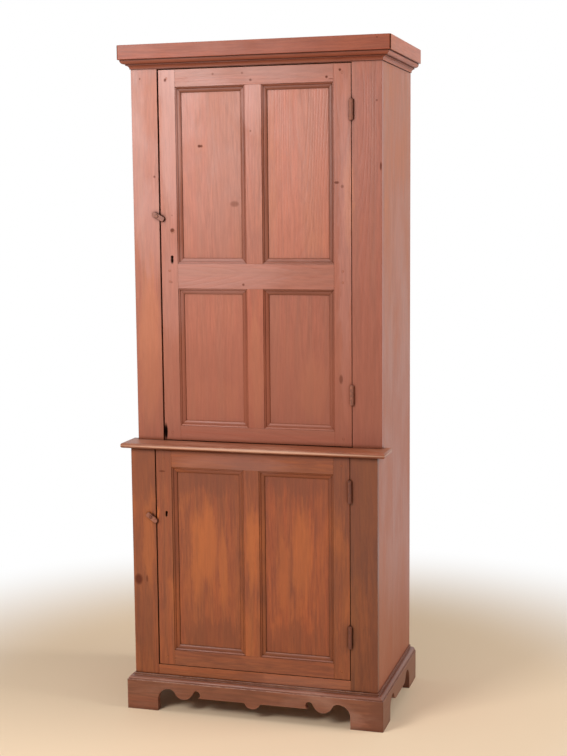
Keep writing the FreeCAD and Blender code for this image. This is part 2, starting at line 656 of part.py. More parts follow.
def base_edge_profile(face, sign):
    """What the moulding plane takes off the top outer edge of a base board."""
    outer = plus(face, times(sign, "base_proud"))
    flat = plus(face, times(sign, "base_flat"))
    fillet = plus(flat, times(sign, "base_fillet"))
    ledge = minus(outer, times(sign, "base_ledge"))
    fillet_level = minus("base_height", "base_step")
    ovolo_foot = minus(fillet_level, "base_drop")
    ledge_level = minus(ovolo_foot, "base_quirk")
    beyond = plus(outer, times(sign, OVERCUT))
    above = plus("base_height", OVERCUT)
    return [
        (flat, above), (flat, fillet_level), (fillet, fillet_level, "base_ovolo", -1 * sign),
        (ledge, ovolo_foot), (ledge, ledge_level), (beyond, ledge_level), (beyond, above),
    ]


def make_base():
    """Bracket base: three boards with a scalloped lower edge and a moulded top edge, mitred in front."""
    outer = plus(HALF, "base_proud")
    front = times(-1, "base_proud")
    height = plus("base_height", OVERCUT)
    foot = minus("foot_width", outer)
    lobe = plus(foot, "lobe_reach")
    point = plus(lobe, "sqrt(lobe_radius ^ 2 - (lobe_radius - lobe_rise) ^ 2)")
    hole_left = plus(point, "lobe_point")
    hole = plus(hole_left, "hole_radius")
    hole_level = plus("apron_edge", "sqrt(hole_radius ^ 2 - hole_lip ^ 2)")
    tip = "((pendant_half ^ 2 + pendant_drop ^ 2) / (2 * pendant_drop))"
    tip_level = minus("apron_edge", "pendant_shoulder")
    half_edge = [(times(-1, outer), "0")]
    half_edge += arch(foot, lobe, 1)
    half_edge += [
        (point, plus("lobe_bottom", "lobe_rise")), (hole_left, hole_level, "hole_radius", -1),
        (hole, plus(hole_level, "hole_radius"), "hole_radius", -1),
        (plus(hole, "hole_lip"), "apron_edge"),
        (times(-1, plus("pendant_half", "pendant_shoulder")), "apron_edge", "pendant_shoulder", -1),
        (times(-1, "pendant_half"), tip_level),
    ]
    whole_edge = half_edge[:-1] + [half_edge[-1] + (tip, 1)] + mirrored(half_edge, "0")
    board = case_body("base_board_front")
    grow(board, "XZ_Plane", front, "base_proud",
         whole_edge + [(outer, "base_height"), (times(-1, outer), "base_height")])
    cut(board, "YZ_Plane", times(-1, outer), times(2, outer), base_edge_profile("0", -1))
    for sign in (-1, 1):
        cut(board, "XY_Plane", "0", height, [
            (times(sign, plus(outer, OVERCUT)), minus(front, OVERCUT)),
            (times(sign, plus(outer, OVERCUT)), OVERCUT),
            (times(sign, minus(HALF, OVERCUT)), OVERCUT),
        ])
    front_foot = plus(front, "side_foot_depth")
    rear_foot = minus("case_depth", "rear_foot_depth")
    middle = times(0.5, plus(front_foot, rear_foot))
    side_lobe = plus(front_foot, "lobe_reach")
    front_arch = arch(front_foot, side_lobe, 1) + [(side_lobe, "lobe_bottom")]
    side_edge = [(front, "0")] + front_arch + mirrored(front_arch, middle)
    side_edge += [("case_depth", "0"), ("case_depth", "base_height"), (front, "base_height")]
    for side, sign in (("left", -1), ("right", 1)):
        board = case_body("base_board_" + side)
        grow(board, "YZ_Plane", times(-1, outer) if sign < 0 else HALF, "base_proud", side_edge)
        cut(board, "XZ_Plane", front, minus("case_depth", front), base_edge_profile(times(sign, HALF), sign))
        cut(board, "XY_Plane", "0", height, [
            (times(sign, plus(outer, OVERCUT)), minus(front, OVERCUT)),
            (times(sign, minus(HALF, OVERCUT)), OVERCUT),
            (times(sign, minus(HALF, OVERCUT)), minus(front, OVERCUT)),
        ])


def make_foot_blocks():
    """Square blocks inside the feet carry the corners of the case."""
    loops = []
    for left in (times(-1, HALF), minus(HALF, "foot_block")):
        for front in ("0", minus("case_depth", "foot_block")):
            loops.append(rectangle(left, front, plus(left, "foot_block"), plus(front, "foot_block")))
    grow(case_body("foot_blocks"), "XY_Plane", "0", "case_bottom", *loops)


# ---------------------------------------------------------------- doors
def stuck_edge(edge, sign, flip):
    """What the sash plane takes off a member's panel edge: the moulding in front, the groove behind.

    Edge is where the flat ends; the moulding lies beyond it, along sign. Flip swaps the sketch's axes
    for rails, whose section is drawn on YZ_Plane.
    """
    def spot(across, deep):
        place = plus(edge, times(sign, across))
        return (deep, place) if flip else (place, deep)

    turn = -sign if flip else sign
    ovolo_start = plus("bead_width", "fillet_width")
    ovolo_run = minus("moulding_width", ovolo_start)
    ovolo_radius = "((%s ^ 2 + ovolo_drop ^ 2) / (2 * ovolo_drop))" % ovolo_run
    sight = "moulding_width"
    beyond = plus("moulding_width", OVERCUT)
    before = str(-OVERCUT)
    ovolo_foot = plus("bead_level", "ovolo_drop")
    moulding = [
        spot("0", before),
        spot("0", "quirk") + ("bead_radius", turn),
        spot("bead_width", "bead_level"),
        spot(ovolo_start, "bead_level") + (ovolo_radius, turn),
        spot(sight, ovolo_foot),
        spot(beyond, ovolo_foot),
        spot(beyond, before),
    ]
    groove_back = plus(PANEL_RECESS, "panel_edge", "groove_slack")
    groove = [
        spot(minus(sight, "groove_depth"), PANEL_RECESS),
        spot(beyond, PANEL_RECESS),
        spot(beyond, groove_back),
        spot(minus(sight, "groove_depth"), groove_back),
    ]
    return [moulding, groove]


def strip(low, high, edge, sign, vertical):
    """The mitred strip of moulding beside one panel sight, as the corners beyond the member's flat."""
    out = plus(edge, times(sign, "moulding_width"))
    ends = [
        (minus(low, "moulding_width"), edge), (low, out), (high, out), (plus(high, "moulding_width"), edge),
    ]
    return [(across, along) if vertical else (along, across) for along, across in ends]


def door_layout(level):
    """The door's width, height and panel sights, in the door frame."""
    width = minus("case_width", level + "_left_stile", level + "_right_stile", level + "_gap_left",
                  level + "_gap_right")
    low = DOOR_LOW[level]
    height = minus(DOOR_HIGH[level], low)
    stile, muntin = level + "_stile_flat", level + "_muntin_flat"
    sight_left = plus(stile, "moulding_width")
    sight_width = "((%s - 2 * %s - %s - 4 * moulding_width) / 2)" % (width, stile, muntin)
    columns = [
        (sight_left, plus(sight_left, sight_width)),
        (minus(width, sight_left, sight_width), minus(width, sight_left)),
    ]
    bottom = plus(level + "_bottom_flat", "moulding_width")
    top = minus(height, level + "_top_flat", "moulding_width")
    if level == "lower":
        rows = [(bottom, top)]
    else:
        rows = [
            (bottom, plus(bottom, "upper_short_sight")),
            (plus(LOCK_RAIL_TOP, "moulding_width"), top),
        ]
    return width, height, low, columns, rows


def door_frame(level, width, height, low, columns, rows):
    """Stiles, rails and muntins of one door, with the door's place as each body's placement."""
    left = plus(level + "_left_stile", level + "_gap_left", times(-1, HALF))
    front = plus(CASE_Y, "step_back" if level == "upper" else "0")
    stile, muntin = level + "_stile_flat", level + "_muntin_flat"
    middle = times(0.5, width)
    muntin_left, muntin_right = minus(middle, muntin + " / 2"), plus(middle, muntin + " / 2")
    mortise = plus("tenon_length", "mortise_slack")
    stub = plus("muntin_tenon", "mortise_slack")
    rails = [("bottom_rail", "0", level + "_bottom_flat", [], [rows[0]])]
    if level == "upper":
        lock_low = plus(rows[0][1], "moulding_width")
        rails.append(("lock_rail", lock_low, plus(lock_low, "upper_lock_flat"), [rows[0]], [rows[1]]))
    rails.append(("top_rail", minus(height, level + "_top_flat"), height, [rows[-1]], []))

    def member(name):
        return new_body(level + "_door_" + name, left, front, low)

    def tenon_span(rail):
        return plus(rail[1], "tenon_shoulder"), minus(rail[2], "tenon_shoulder")

    pegs = peg_places(rails)
    # Stiles
    for name, inner, sign in (("lock_stile", stile, 1), ("hinge_stile", minus(width, stile), -1)):
        outer = "0" if sign > 0 else width
        outline = [(outer, height), (outer, "0"), (inner, "0")]
        for row in rows:
            outline += strip(row[0], row[1], inner, sign, True)
        body = member(name)
        grow(body, "XZ_Plane", "0", DOOR_THICKNESS, outline + [(inner, height)])
        cut(body, "XY_Plane", "0", height, *stuck_edge(inner, sign, False))
        mortises = []
        for rail in rails:
            span = tenon_span(rail)
            mortises.append(rectangle(minus(inner, times(sign, mortise)), span[0], inner, span[1]))
        cut(body, "XZ_Plane", "tenon_setback", "tenon_thickness", *mortises)
        holes = [octagon(plus(outer, times(sign, "peg_inset")), place, "peg_radius") for place in pegs]
        if name == "lock_stile" and level == "upper":
            holes.append(plug(low))
        cut(body, "XZ_Plane", "0", DOOR_THICKNESS, *holes)
        if name == "lock_stile":
            cut(body, "XZ_Plane", "0", DOOR_THICKNESS, keyhole(level, low))
        else:
            axis = (plus(width, level + "_gap_right / 2"), times(-1, "hinge_axis_out"))
            leaf = rectangle(minus(width, "leaf_thickness"), "0", width, "leaf_depth")
            hinge_recesses(body, level, low, axis, leaf)
    # Rails
    for rail in rails:
        name, flat_low, flat_high, below, above = rail
        outline = [(stile, flat_low)]
        for row in below:
            for column in columns:
                outline += strip(column[0], column[1], flat_low, -1, False)
        outline += [(minus(width, stile), flat_low), (minus(width, stile), flat_high)]
        for row in above:
            for column in reversed(columns):
                outline += list(reversed(strip(column[0], column[1], flat_high, 1, False)))
        outline += [(stile, flat_high)]
        body = member(name)
        grow(body, "XZ_Plane", "0", DOOR_THICKNESS, tidy(outline))
        span = tenon_span(rail)
        grow(body, "XZ_Plane", "tenon_setback", "tenon_thickness",
             rectangle(minus(stile, "tenon_length"), span[0],
                       plus(minus(width, stile), "tenon_length"), span[1]))
        planed = stuck_edge(flat_low, -1, True) if below else []
        planed += stuck_edge(flat_high, 1, True) if above else []
        cut(body, "YZ_Plane", "0", width, *planed)
        stubs = []
        tongue = (plus(muntin_left, "tenon_shoulder"), minus(muntin_right, "tenon_shoulder"))
        if below:
            stubs.append(rectangle(tongue[0], flat_low, tongue[1], plus(flat_low, stub)))
        if above:
            stubs.append(rectangle(tongue[0], minus(flat_high, stub), tongue[1], flat_high))
        cut(body, "XZ_Plane", "tenon_setback", "tenon_thickness", *stubs)
        own_pegs = [place for place, owner in pegs.items() if owner == name]
        holes = []
        for place in own_pegs:
            holes.append(octagon("peg_inset", place, "peg_radius"))
            holes.append(octagon(minus(width, "peg_inset"), place, "peg_radius"))
        cut(body, "XZ_Plane", "0", DOOR_THICKNESS, *holes)
    # Muntins
    names = ["muntin"] if level == "lower" else ["bottom_muntin", "top_muntin"]
    for name, row in zip(names, rows):
        flat_low, flat_high = minus(row[0], "moulding_width"), plus(row[1], "moulding_width")
        outline = strip(row[0], row[1], muntin_right, 1, True)
        outline += list(reversed(strip(row[0], row[1], muntin_left, -1, True)))
        body = member(name)
        grow(body, "XZ_Plane", "0", DOOR_THICKNESS, outline)
        grow(body, "XZ_Plane", "tenon_setback", "tenon_thickness",
             rectangle(plus(muntin_left, "tenon_shoulder"), minus(flat_low, "muntin_tenon"),
                       minus(muntin_right, "tenon_shoulder"), plus(flat_high, "muntin_tenon")))
        cut(body, "XY_Plane", flat_low, minus(flat_high, flat_low),
            *(stuck_edge(muntin_right, 1, False) + stuck_edge(muntin_left, -1, False)))
    # Eight-sided riven pegs, driven flush from the front
    loops = []
    for place in pegs:
        loops.append(octagon("peg_inset", place, "peg_radius"))
        loops.append(octagon(minus(width, "peg_inset"), place, "peg_radius"))
    if level == "upper":
        loops.append(plug(low))
    grow(member("pegs"), "XZ_Plane", "0", DOOR_THICKNESS, *loops)
    # Panels
    for row_name, row in zip(["bottom_", "top_"] if level == "upper" else [""], rows):
        for side, column in zip(("left", "right"), columns):
            make_panel(member(row_name + "panel_" + side), column, row)


def tidy(outline):
    """Drop corners that repeat the one before."""
    kept = []
    for corner in outline:
        spot = (round(value(corner[0]), 4), round(value(corner[1]), 4))
        if not kept or spot != kept[-1][0]:
            kept.append((spot, corner))
    if kept[0][0] == kept[-1][0]:
        kept.pop()
    return [corner for spot, corner in kept]


def peg_places(rails):
    """Heights of the pegs, each with the rail it holds: two at the lock rail, one elsewhere."""
    places = {}
    for name, flat_low, flat_high, below, above in rails:
        middle = times(0.5, plus(flat_low, flat_high))
        if name == "lock_rail":
            places[minus(middle, "peg_spread")] = name
            places[plus(middle, "peg_spread")] = name
        else:
            places[middle] = name
    return places


def plug(low):
    """The plug's outline in the upper lock stile."""
    return "plug_inset", minus(plus(KEY_LEVEL["upper"], "plug_rise"), low), "plug_radius"


def keyhole(level, low):
    """A keyhole: a round with a straight slot below it."""
    centre = level + "_key_inset"
    radius = level + "_key_radius"
    bottom = minus(KEY_LEVEL[level], low, level + "_key_height / 2")
    crown = minus(plus(bottom, level + "_key_height"), radius)
    waist = minus(crown, "sqrt(%s ^ 2 - (key_slot / 2) ^ 2)" % radius)
    return [
        (minus(centre, "key_slot / 2"), bottom), (plus(centre, "key_slot / 2"), bottom),
        (plus(centre, "key_slot / 2"), waist, radius, 2), (minus(centre, "key_slot / 2"), waist),
    ]


def make_panel(body, column, row):
    """A flat-faced panel in its grooves, bevelled on the back."""
    grip = minus("groove_depth", "panel_play")
    left, right = minus(column[0], grip), plus(column[1], grip)
    low, high = minus(row[0], grip), plus(row[1], grip)
    back = plus(PANEL_RECESS, "panel_thickness")
    edge = plus(PANEL_RECESS, "panel_edge")
    beyond = plus(back, OVERCUT)
    run = "(panel_bevel * (%s - %s) / (panel_thickness - panel_edge))" % (beyond, edge)
    grow(body, "XZ_Plane", PANEL_RECESS, "panel_thickness", rectangle(left, low, right, high))
    for role, first, last, offset, length in (
            ("XY_Plane", left, right, low, minus(high, low)),
            ("YZ_Plane", low, high, left, minus(right, left))):
        wedges = []
        for start, sign in ((first, 1), (last, -1)):
            wedge = [(start, edge), (plus(start, times(sign, run)), beyond), (start, beyond)]
            wedges.append(wedge if role == "XY_Plane" else [(deep, along) for along, deep in wedge])
        cut(body, role, offset, length, *wedges)


# ---------------------------------------------------------------- locks, hinges, turn buttons
def make_lock(level, low):
    """A rim lock on the door's back: its case, with the key's well and the bolt's way, and the bolt."""
    left = plus(level + "_left_stile", level + "_gap_left", times(-1, HALF))
    front = plus(CASE_Y, "step_back" if level == "upper" else "0")
    key_level = minus(KEY_LEVEL[level], low)
    right = plus("lock_inset", "lock_width")
    way_low = minus(plus(key_level, "bolt_rise"), "bolt_height / 2", "bolt_gap")
    way_high = plus(key_level, "bolt_rise", "bolt_height / 2", "bolt_gap")
    way_front = minus(plus(DOOR_THICKNESS, "lock_thickness"), "lock_wall", "bolt_thickness", "2 * bolt_gap")
    way_end = plus("lock_inset", "bolt_length", "bolt_gap")
    case = new_body(level + "_lock_case", left, front, low)
    grow(case, "XZ_Plane", DOOR_THICKNESS, "lock_thickness",
         rectangle("lock_inset", minus(key_level, "lock_below"), right, plus(key_level, "lock_above")))
    cut(case, "XZ_Plane", DOOR_THICKNESS, minus("lock_thickness", "lock_wall"), keyhole(level, low))
    cut(case, "XZ_Plane", way_front, plus("bolt_thickness", "2 * bolt_gap"),
        rectangle("lock_inset", way_low, way_end, way_high))
    bolt = new_body(level + "_lock_bolt", left, front, low)
    grow(bolt, "XZ_Plane", plus(way_front, "bolt_gap"), "bolt_thickness",
         rectangle(minus("lock_inset", "bolt_stub"), plus(way_low, "bolt_gap"),
                   plus("lock_inset", minus("bolt_length", "bolt_stub")), minus(way_high, "bolt_gap")))


def solid(kind, name, places, **sizes):
    """A Part primitive with every size and its place bound to the sheet."""
    item = doc.addObject(kind, name)
    for prop, text in sizes.items():
        item.setExpression(prop, bound(text))
    for axis, text in zip("xyz", places):
        item.setExpression("Placement.Base." + axis, bound(text))
    return item


def group(label, items):
    """Separate solids kept as one sub-part."""
    compound = doc.addObject("Part::Compound", label)
    compound.Label = label
    compound.Links = items
    PARTS.append(compound)


def hinge_leaf(name, axis_x, axis_y, low, tall, side, gap):
    """One leaf: a plate let into the edge of the wood, with tabs rolled into knuckles round the pin.

    Side is 1 for the leaf on the stile, with the end knuckles, and -1 for the leaf on the door.
    """
    plate_x = plus(axis_x, gap + " / 2") if side > 0 else minus(axis_x, gap + " / 2", "leaf_thickness")
    clear = plus("barrel_radius", "knuckle_gap")
    plate_front = plus(axis_y, clear)
    plate_deep = minus(plus("hinge_axis_out", "leaf_depth"), clear)
    pieces = [solid("Part::Box", name + "_plate", (plate_x, plate_front, low),
                    Length="leaf_thickness", Width=plate_deep, Height=tall)]
    pitch = "(%s / %d)" % (tall, KNUCKLES)
    for index in range(0 if side > 0 else 1, KNUCKLES, 2):
        start = plus(low, times(index, pitch), "0" if index == 0 else "knuckle_gap / 2")
        end = plus(low, times(index + 1, pitch), "0" if index == KNUCKLES - 1 else "-knuckle_gap / 2")
        pieces.append(solid("Part::Cylinder", name + "_knuckle", (axis_x, axis_y, start),
                            Radius="barrel_radius", Height=minus(end, start)))
        pieces.append(solid("Part::Box", name + "_tab", (plate_x, axis_y, start), Length="leaf_thickness",
                            Width=plus(clear, "leaf_thickness"), Height=minus(end, start)))
    fused = doc.addObject("Part::MultiFuse", name + "_fused")
    fused.Shapes = pieces
    bore = solid("Part::Cylinder", name + "_bore", (axis_x, axis_y, minus(low, OVERCUT)),
                 Radius=plus("pin_radius", "pin_clearance"), Height=plus(tall, 2 * OVERCUT))
    leaf = doc.addObject("Part::Cut", name)
    leaf.Base = fused
    leaf.Tool = bore
    return leaf


def make_hinges():
    """Two butt hinges to a door. The pins stay with the case's leaves."""
    case_leaves = []
    pins = []
    for level, front in (("upper", plus(CASE_Y, "step_back")), ("lower", CASE_Y)):
        gap = level + "_gap_right"
        axis_x = minus(HALF, level + "_right_stile", gap + " / 2")
        axis_y = minus(front, "hinge_axis_out")
        tall = level + "_hinge_height"
        door_leaves = []
        for place, low in zip(("_top_hinge", "_bottom_hinge"), hinge_bottoms(level)):
            case_leaves.append(hinge_leaf(level + place + "_case", axis_x, axis_y, low, tall, 1, gap))
            door_leaves.append(hinge_leaf(level + place + "_door", axis_x, axis_y, low, tall, -1, gap))
            start = (axis_x, axis_y, minus(low, "pin_head"))
            pins.append(solid("Part::Cylinder", level + place + "_pin", start,
                              Radius="pin_radius", Height=plus(tall, "2 * pin_head")))
        group(level + "_hinge_door_leaves", door_leaves)
    group("hinge_case_leaves", case_leaves)
    group("hinge_pins", pins)


def button_place(level):
    """X and Z of a turn button's nail in the case frame."""
    return minus(level + "_left_stile", HALF, level + "_button_inset"), BUTTON_LEVEL[level]


def make_turn_buttons():
    """Wooden turn buttons, each on one nail in the left stile and tilted down over the door's edge."""
    for level, front in (("upper", "step_back"), ("lower", "0")):
        across, up = button_place(level)
        button = new_body(level + "_turn_button", across, plus(CASE_Y, front), up)
        angle = level + "_button_tilt"
        button.Placement = Placement(button.Placement.Base, Rotation(Vector(0, 1, 0), value(angle)))
        button.setExpression("Placement.Rotation.Angle", bound(angle + " * 1 deg"))
        tip, tail = plus("button_shift", "button_length / 2"), minus("button_shift", "button_length / 2")
        side, side_end = "(button_width / 2)", minus("button_width / 2", "button_corner")
        outline = [
            (minus(tip, "button_corner"), times(-1, side)), (tip, times(-1, side_end)),
            (tip, side_end), (minus(tip, "button_corner"), side),
            (plus(tail, "button_corner"), side), (tail, side_end),
            (tail, times(-1, side_end)), (plus(tail, "button_corner"), times(-1, side)),
        ]
        face = times(-1, plus("button_gap", "button_thickness"))
        grow(button, "XZ_Plane", face, "button_thickness", outline)
        cut(button, "XZ_Plane", face, "button_thickness", ("0", "0", plus("nail_radius", "nail_clearance")))
    nails = case_body("turn_button_nails")
    for level, front in (("upper", "step_back"), ("lower", "0")):
        across, up = button_place(level)
        under_head = minus(front, "button_thickness", "2 * button_gap")
        grow(nails, "XZ_Plane", minus(under_head, "nail_head_height"), "nail_head_height",
             octagon(across, up, "nail_head_radius"))
        grow(nails, "XZ_Plane", under_head, plus("button_thickness", "2 * button_gap", "nail_depth"),
             (across, up, "nail_radius"))


# ---------------------------------------------------------------- build, check and export
def failed(item):
    """Whether the document marks this object as broken."""
    return "Invalid" in item.State or "Error" in item.State


def check_document():
    """Stop on any failed object, empty sub-part, or pocket that cuts nothing."""
    for item in doc.Objects:
        if failed(item):
            raise RuntimeError("failed: " + item.Label)
        if item.TypeId != "PartDesign::Pocket":
            continue
        if item.BaseFeature.Shape.Volume - item.Shape.Volume < LEAST_CUT:
            raise RuntimeError("cuts nothing: " + item.Label)
    for part in PARTS:
        if part.Shape.isNull() or not part.Shape.isValid() or not part.Shape.Solids:
            raise RuntimeError("no valid solid: " + part.Label)


make_sides()
make_shelves()
make_back()
make_face_frame()
make_waist_board()
make_top_board()
make_fascias()
make_bed_mouldings()
make_base()
make_foot_blocks()
for door in ("upper", "lower"):
    door_width, door_height, door_low, door_columns, door_rows = door_layout(door)
    door_frame(door, door_width, door_height, door_low, door_columns, door_rows)
    make_lock(door, door_low)
make_hinges()
make_turn_buttons()
doc.recompute()
check_document()

os.makedirs("parts", exist_ok=True)
for part in PARTS:
    part.Shape.exportStep(os.path.join("parts", part.Label + ".step"))
    print(part.Label, len(part.Shape.Solids), round(part.Shape.Volume / 1000))
print(len(PARTS), "sub-parts")
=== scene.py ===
"""Worn, red-washed step-back jelly cupboard: camera, soft light and procedural finishes round the frame."""
import math

import bpy
from mathutils import Matrix, Vector


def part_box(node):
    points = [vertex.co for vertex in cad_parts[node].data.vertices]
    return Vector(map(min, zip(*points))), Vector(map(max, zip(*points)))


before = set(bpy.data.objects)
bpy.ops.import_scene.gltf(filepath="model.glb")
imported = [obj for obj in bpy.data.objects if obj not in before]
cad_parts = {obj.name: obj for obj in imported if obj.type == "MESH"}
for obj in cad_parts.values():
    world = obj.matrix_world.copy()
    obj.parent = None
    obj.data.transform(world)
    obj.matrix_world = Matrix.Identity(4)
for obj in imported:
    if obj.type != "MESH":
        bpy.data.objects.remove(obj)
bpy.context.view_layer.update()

# ---------------------------------------------------------------- camera
# Solved from the photograph: its height and focal length in pixels, the eye in metres and the angles in
# radians. SENSOR is the height of Blender's, in millimetres
PHOTO_HEIGHT = 756
FOCAL_PIXELS = 1390.4
SENSOR = 36.0
EYE = Vector((1.308, -4.339, 1.629))
YAW, PITCH, ROLL = -0.285, -0.123, -0.009


def make_camera():
    """The camera at the photograph's viewing angle."""
    forward = Vector((math.sin(YAW) * math.cos(PITCH), math.cos(YAW) * math.cos(PITCH), math.sin(PITCH)))
    level_right = Vector((math.cos(YAW), -math.sin(YAW), 0))
    level_up = level_right.cross(forward)
    right = level_right * math.cos(ROLL) + level_up * math.sin(ROLL)
    up = level_up * math.cos(ROLL) - level_right * math.sin(ROLL)
    data = bpy.data.cameras.new("camera")
    data.sensor_fit = "VERTICAL"
    data.sensor_height = SENSOR
    data.lens = FOCAL_PIXELS * SENSOR / PHOTO_HEIGHT
    camera = bpy.data.objects.new("camera", data)
    bpy.context.scene.collection.objects.link(camera)
    turn = Matrix((right, up, -forward)).transposed().to_4x4()
    camera.matrix_world = Matrix.Translation(EYE) @ turn
    bpy.context.scene.camera = camera


# ---------------------------------------------------------------- colours
def tone(red, green, blue):
    """A screen colour, 0 to 255, as the linear colour that renders to it."""
    def linear(level):
        share = level / 255
        return share / 12.92 if share <= 0.04045 else ((share + 0.055) / 1.055) ** 2.4
    return (linear(red), linear(green), linear(blue), 1)


# Each palette has its colours in this order: three washes, the bare wood under them, and a dark
# brown for soiling, which is also painted shade in mouldings and hollows
PALETTE = ("Light", "Middle", "Dark", "Bare", "Soiling and shade")
DARK, BARE = PALETTE.index("Dark"), PALETTE.index("Bare")
UPPER_WASH = (
    tone(186, 110, 84), tone(173, 99, 74), tone(154, 86, 62), tone(202, 124, 84), tone(56, 27, 18),
)
LOWER_WASH = (
    tone(170, 92, 50), tone(150, 79, 44), tone(118, 60, 35), tone(192, 106, 52), tone(40, 20, 13),
)
BASE_WASH = (
    tone(148, 90, 64), tone(134, 78, 54), tone(112, 62, 43), tone(204, 160, 142), tone(44, 23, 16),
)
WAIST_WASH = (
    tone(158, 88, 56), tone(142, 78, 48), tone(116, 62, 38), tone(234, 186, 158), tone(40, 20, 13),
)
BUTTON_WASH = (
    tone(156, 96, 76), tone(138, 82, 64), tone(114, 66, 50), tone(180, 122, 96), tone(40, 20, 14),
)
PINE = (
    tone(196, 158, 116), tone(178, 138, 96), tone(146, 106, 70), tone(206, 170, 128), tone(96, 68, 44),
)
# A chalky pale for bloom, which is also painted sheen on the upper left stiles
CHALK_AND_SHEEN = tone(206, 158, 150)
KNOT_BROWN = tone(98, 52, 40)
# Near black for painted shadow round the keyholes and on the broken corner
HOLE_SHADOW_BLACK = tone(14, 8, 6)
WHITE = (1, 1, 1, 1)


# ---------------------------------------------------------------- shader building
class Shader:
    """Short calls for building a node tree."""

    def __init__(self, tree):
        self.tree = tree

    def feed(self, socket, source):
        """Set a socket to a number or colour, or link another socket to it."""
        if isinstance(source, bpy.types.NodeSocket):
            self.tree.links.new(source, socket)
        else:
            socket.default_value = source

    def node(self, kind, **inputs):
        """A node with its named inputs fed; an underscore stands for a space."""
        item = self.tree.nodes.new(kind)
        for name, source in inputs.items():
            self.feed(item.inputs[name.replace("_", " ")], source)
        return item

    def math(self, operation, first, second=0.0, clamp=False):
        """One step of arithmetic."""
        item = self.tree.nodes.new("ShaderNodeMath")
        item.operation = operation
        item.use_clamp = clamp
        self.feed(item.inputs[0], first)
        self.feed(item.inputs[1], second)
        return item.outputs[0]

    def mix(self, share, first, second, blend="MIX"):
        """The first colour with a share of the second over it."""
        item = self.tree.nodes.new("ShaderNodeMix")
        item.data_type = "RGBA"
        item.blend_type = blend
        item.clamp_factor = True
        self.feed(item.inputs[0], share)
        self.feed(item.inputs[6], first)
        self.feed(item.inputs[7], second)
        return item.outputs[2]

    def span(self, source, low, high, to_low=0.0, to_high=1.0):
        """Map low..high smoothly to to_low..to_high, clamped."""
        item = self.node("ShaderNodeMapRange", Value=source)
        item.interpolation_type = "SMOOTHSTEP"
        for name, number in (("From Min", low), ("From Max", high), ("To Min", to_low), ("To Max", to_high)):
            item.inputs[name].default_value = number
        return item.outputs[0]

    def noise(self, vector, scale, detail=3.0, roughness=0.5, distortion=0.0):
        """Cloudy noise, mostly 0.3 to 0.7."""
        item = self.node("ShaderNodeTexNoise", Vector=vector, Scale=scale, Detail=detail,
                         Roughness=roughness, Distortion=distortion)
        return item.outputs[0]

    def stretch(self, vector, scale):
        """A vector times a fixed one: a small number draws the pattern out along that axis."""
        item = self.tree.nodes.new("ShaderNodeVectorMath")
        item.operation = "MULTIPLY"
        self.feed(item.inputs[0], vector)
        item.inputs[1].default_value = scale
        return item.outputs[0]

    def coordinates(self, kind):
        """A vector socket of the texture coordinates: Object for places in metres, Normal for the facing."""
        return self.tree.nodes.new("ShaderNodeTexCoord").outputs[kind]

    def axis(self, vector, letter):
        """One axis of a vector."""
        return self.node("ShaderNodeSeparateXYZ", Vector=vector).outputs[letter]


# ---------------------------------------------------------------- wood
# Noises: scale, detail, roughness, and distortion where there is any
FIBRES = (420, 5, 0.65)
STREAKS = (130, 6, 0.66)
BROAD_STREAKS = (22, 3, 0.5)
BLOTCHES = (7.5, 6, 0.6, 0.4)
BANDS = (48, 3, 0.5)
RING_FIELD = (6, 1.2, 0.4)
RUBBING = (46, 6, 0.65)
# What the place is multiplied by first: a small last number draws a pattern out along the grain
GRAIN_SHRINK = (1, 1, 0.07)
BLOTCH_SHRINK = (1, 1, 0.45)
BAND_SHRINK = (1, 1, 0.02)
RING_SHRINK = (1, 1, 0.10)
# Spans: two values of a pattern, and how strong its effect is at each where that isn't 0 and 1
STREAK_SPAN = (0.36, 0.64)
BROAD_SPAN = (0.3, 0.7, 0.7, 0.35)
BARE_SPAN = (0.47, 0.72)
DARK_SPAN = (0.46, 0.28)
FIBRE_SPAN = (0.34, 0.5, 0.12, 0.0)
BAND_SPAN = (0.36, 0.64)
RING_SPAN = (0.2, 1.0)
RUBBING_SPAN = (0.32, 0.58)
ROUGHNESS_SPAN = (0.3, 0.7, 0.36, 0.48)
RING_COUNT = 190
RING_STRENGTH = 0.16
REDDER, BROWNER = (1.04, 0.97, 0.95, 1), (0.95, 0.98, 0.98, 1)
# Specks: cells in a metre, the share of them left empty, and the fade of a speck in its cell
SPECK_CELLS = 13
SPECK_EMPTY = 0.6
SPECK_SPAN = (0.030, 0.014, 0.0, 0.75)
# Depths in metres behind a board's front where a moulding's painted dark, soiling and shade, starts
# and ends, and how strong it is on faces that look sideways or down and on faces that look up, which
# catch more light
MOULDING_STARTS, MOULDING_ENDS = (0.0007, 0.0013), (0.0105, 0.0095)
MOULDING_UPWARD = (0.0, 0.6, 1.0, 0.45)
# Worn edges, dark lines along sharp edges, and hollows: reach in metres and samples
EDGE, ARRIS, CAVITY = (0.004, 6), (0.0018, 4), (0.016, 8)
# Spans of how far a rounded normal agrees with the flat one, how far it looks up, and how open a point is
TURN_SPAN = (0.995, 0.82)
UPWARD_SPAN = (0.1, 0.7)
CAVITY_SPAN = (0.97, 0.55)
# Wear on edges that look sideways or down, and what looking up adds, as wear and a painted highlight;
# and what looking up takes off the dark lines, as edges that look up catch the light
WEAR_ANYWAY, WEAR_UPWARD = 0.2, 0.8
LINE_UPWARD = 0.85
# How much the fibres, rings and blotches raise the surface
FIBRE_RISE, RING_RISE, BLOTCH_RISE = 0.5, -0.25, 0.9

WOOD_SOCKETS = (
    ("INPUT", "NodeSocketVector", ("Vector",)),
    ("INPUT", "NodeSocketColor", ("Light", "Middle", "Dark", "Bare", "Soiling and shade", "Shade")),
    ("INPUT", "NodeSocketFloat", ("Wear", "Joint", "Moulded", "Grime and shade", "Patchy", "Sheen", "Front")),
    ("OUTPUT", "NodeSocketColor", ("Color",)),
    ("OUTPUT", "NodeSocketFloat", ("Roughness", "Gloss", "Height")),
    ("OUTPUT", "NodeSocketVector", ("Normal",)),
)


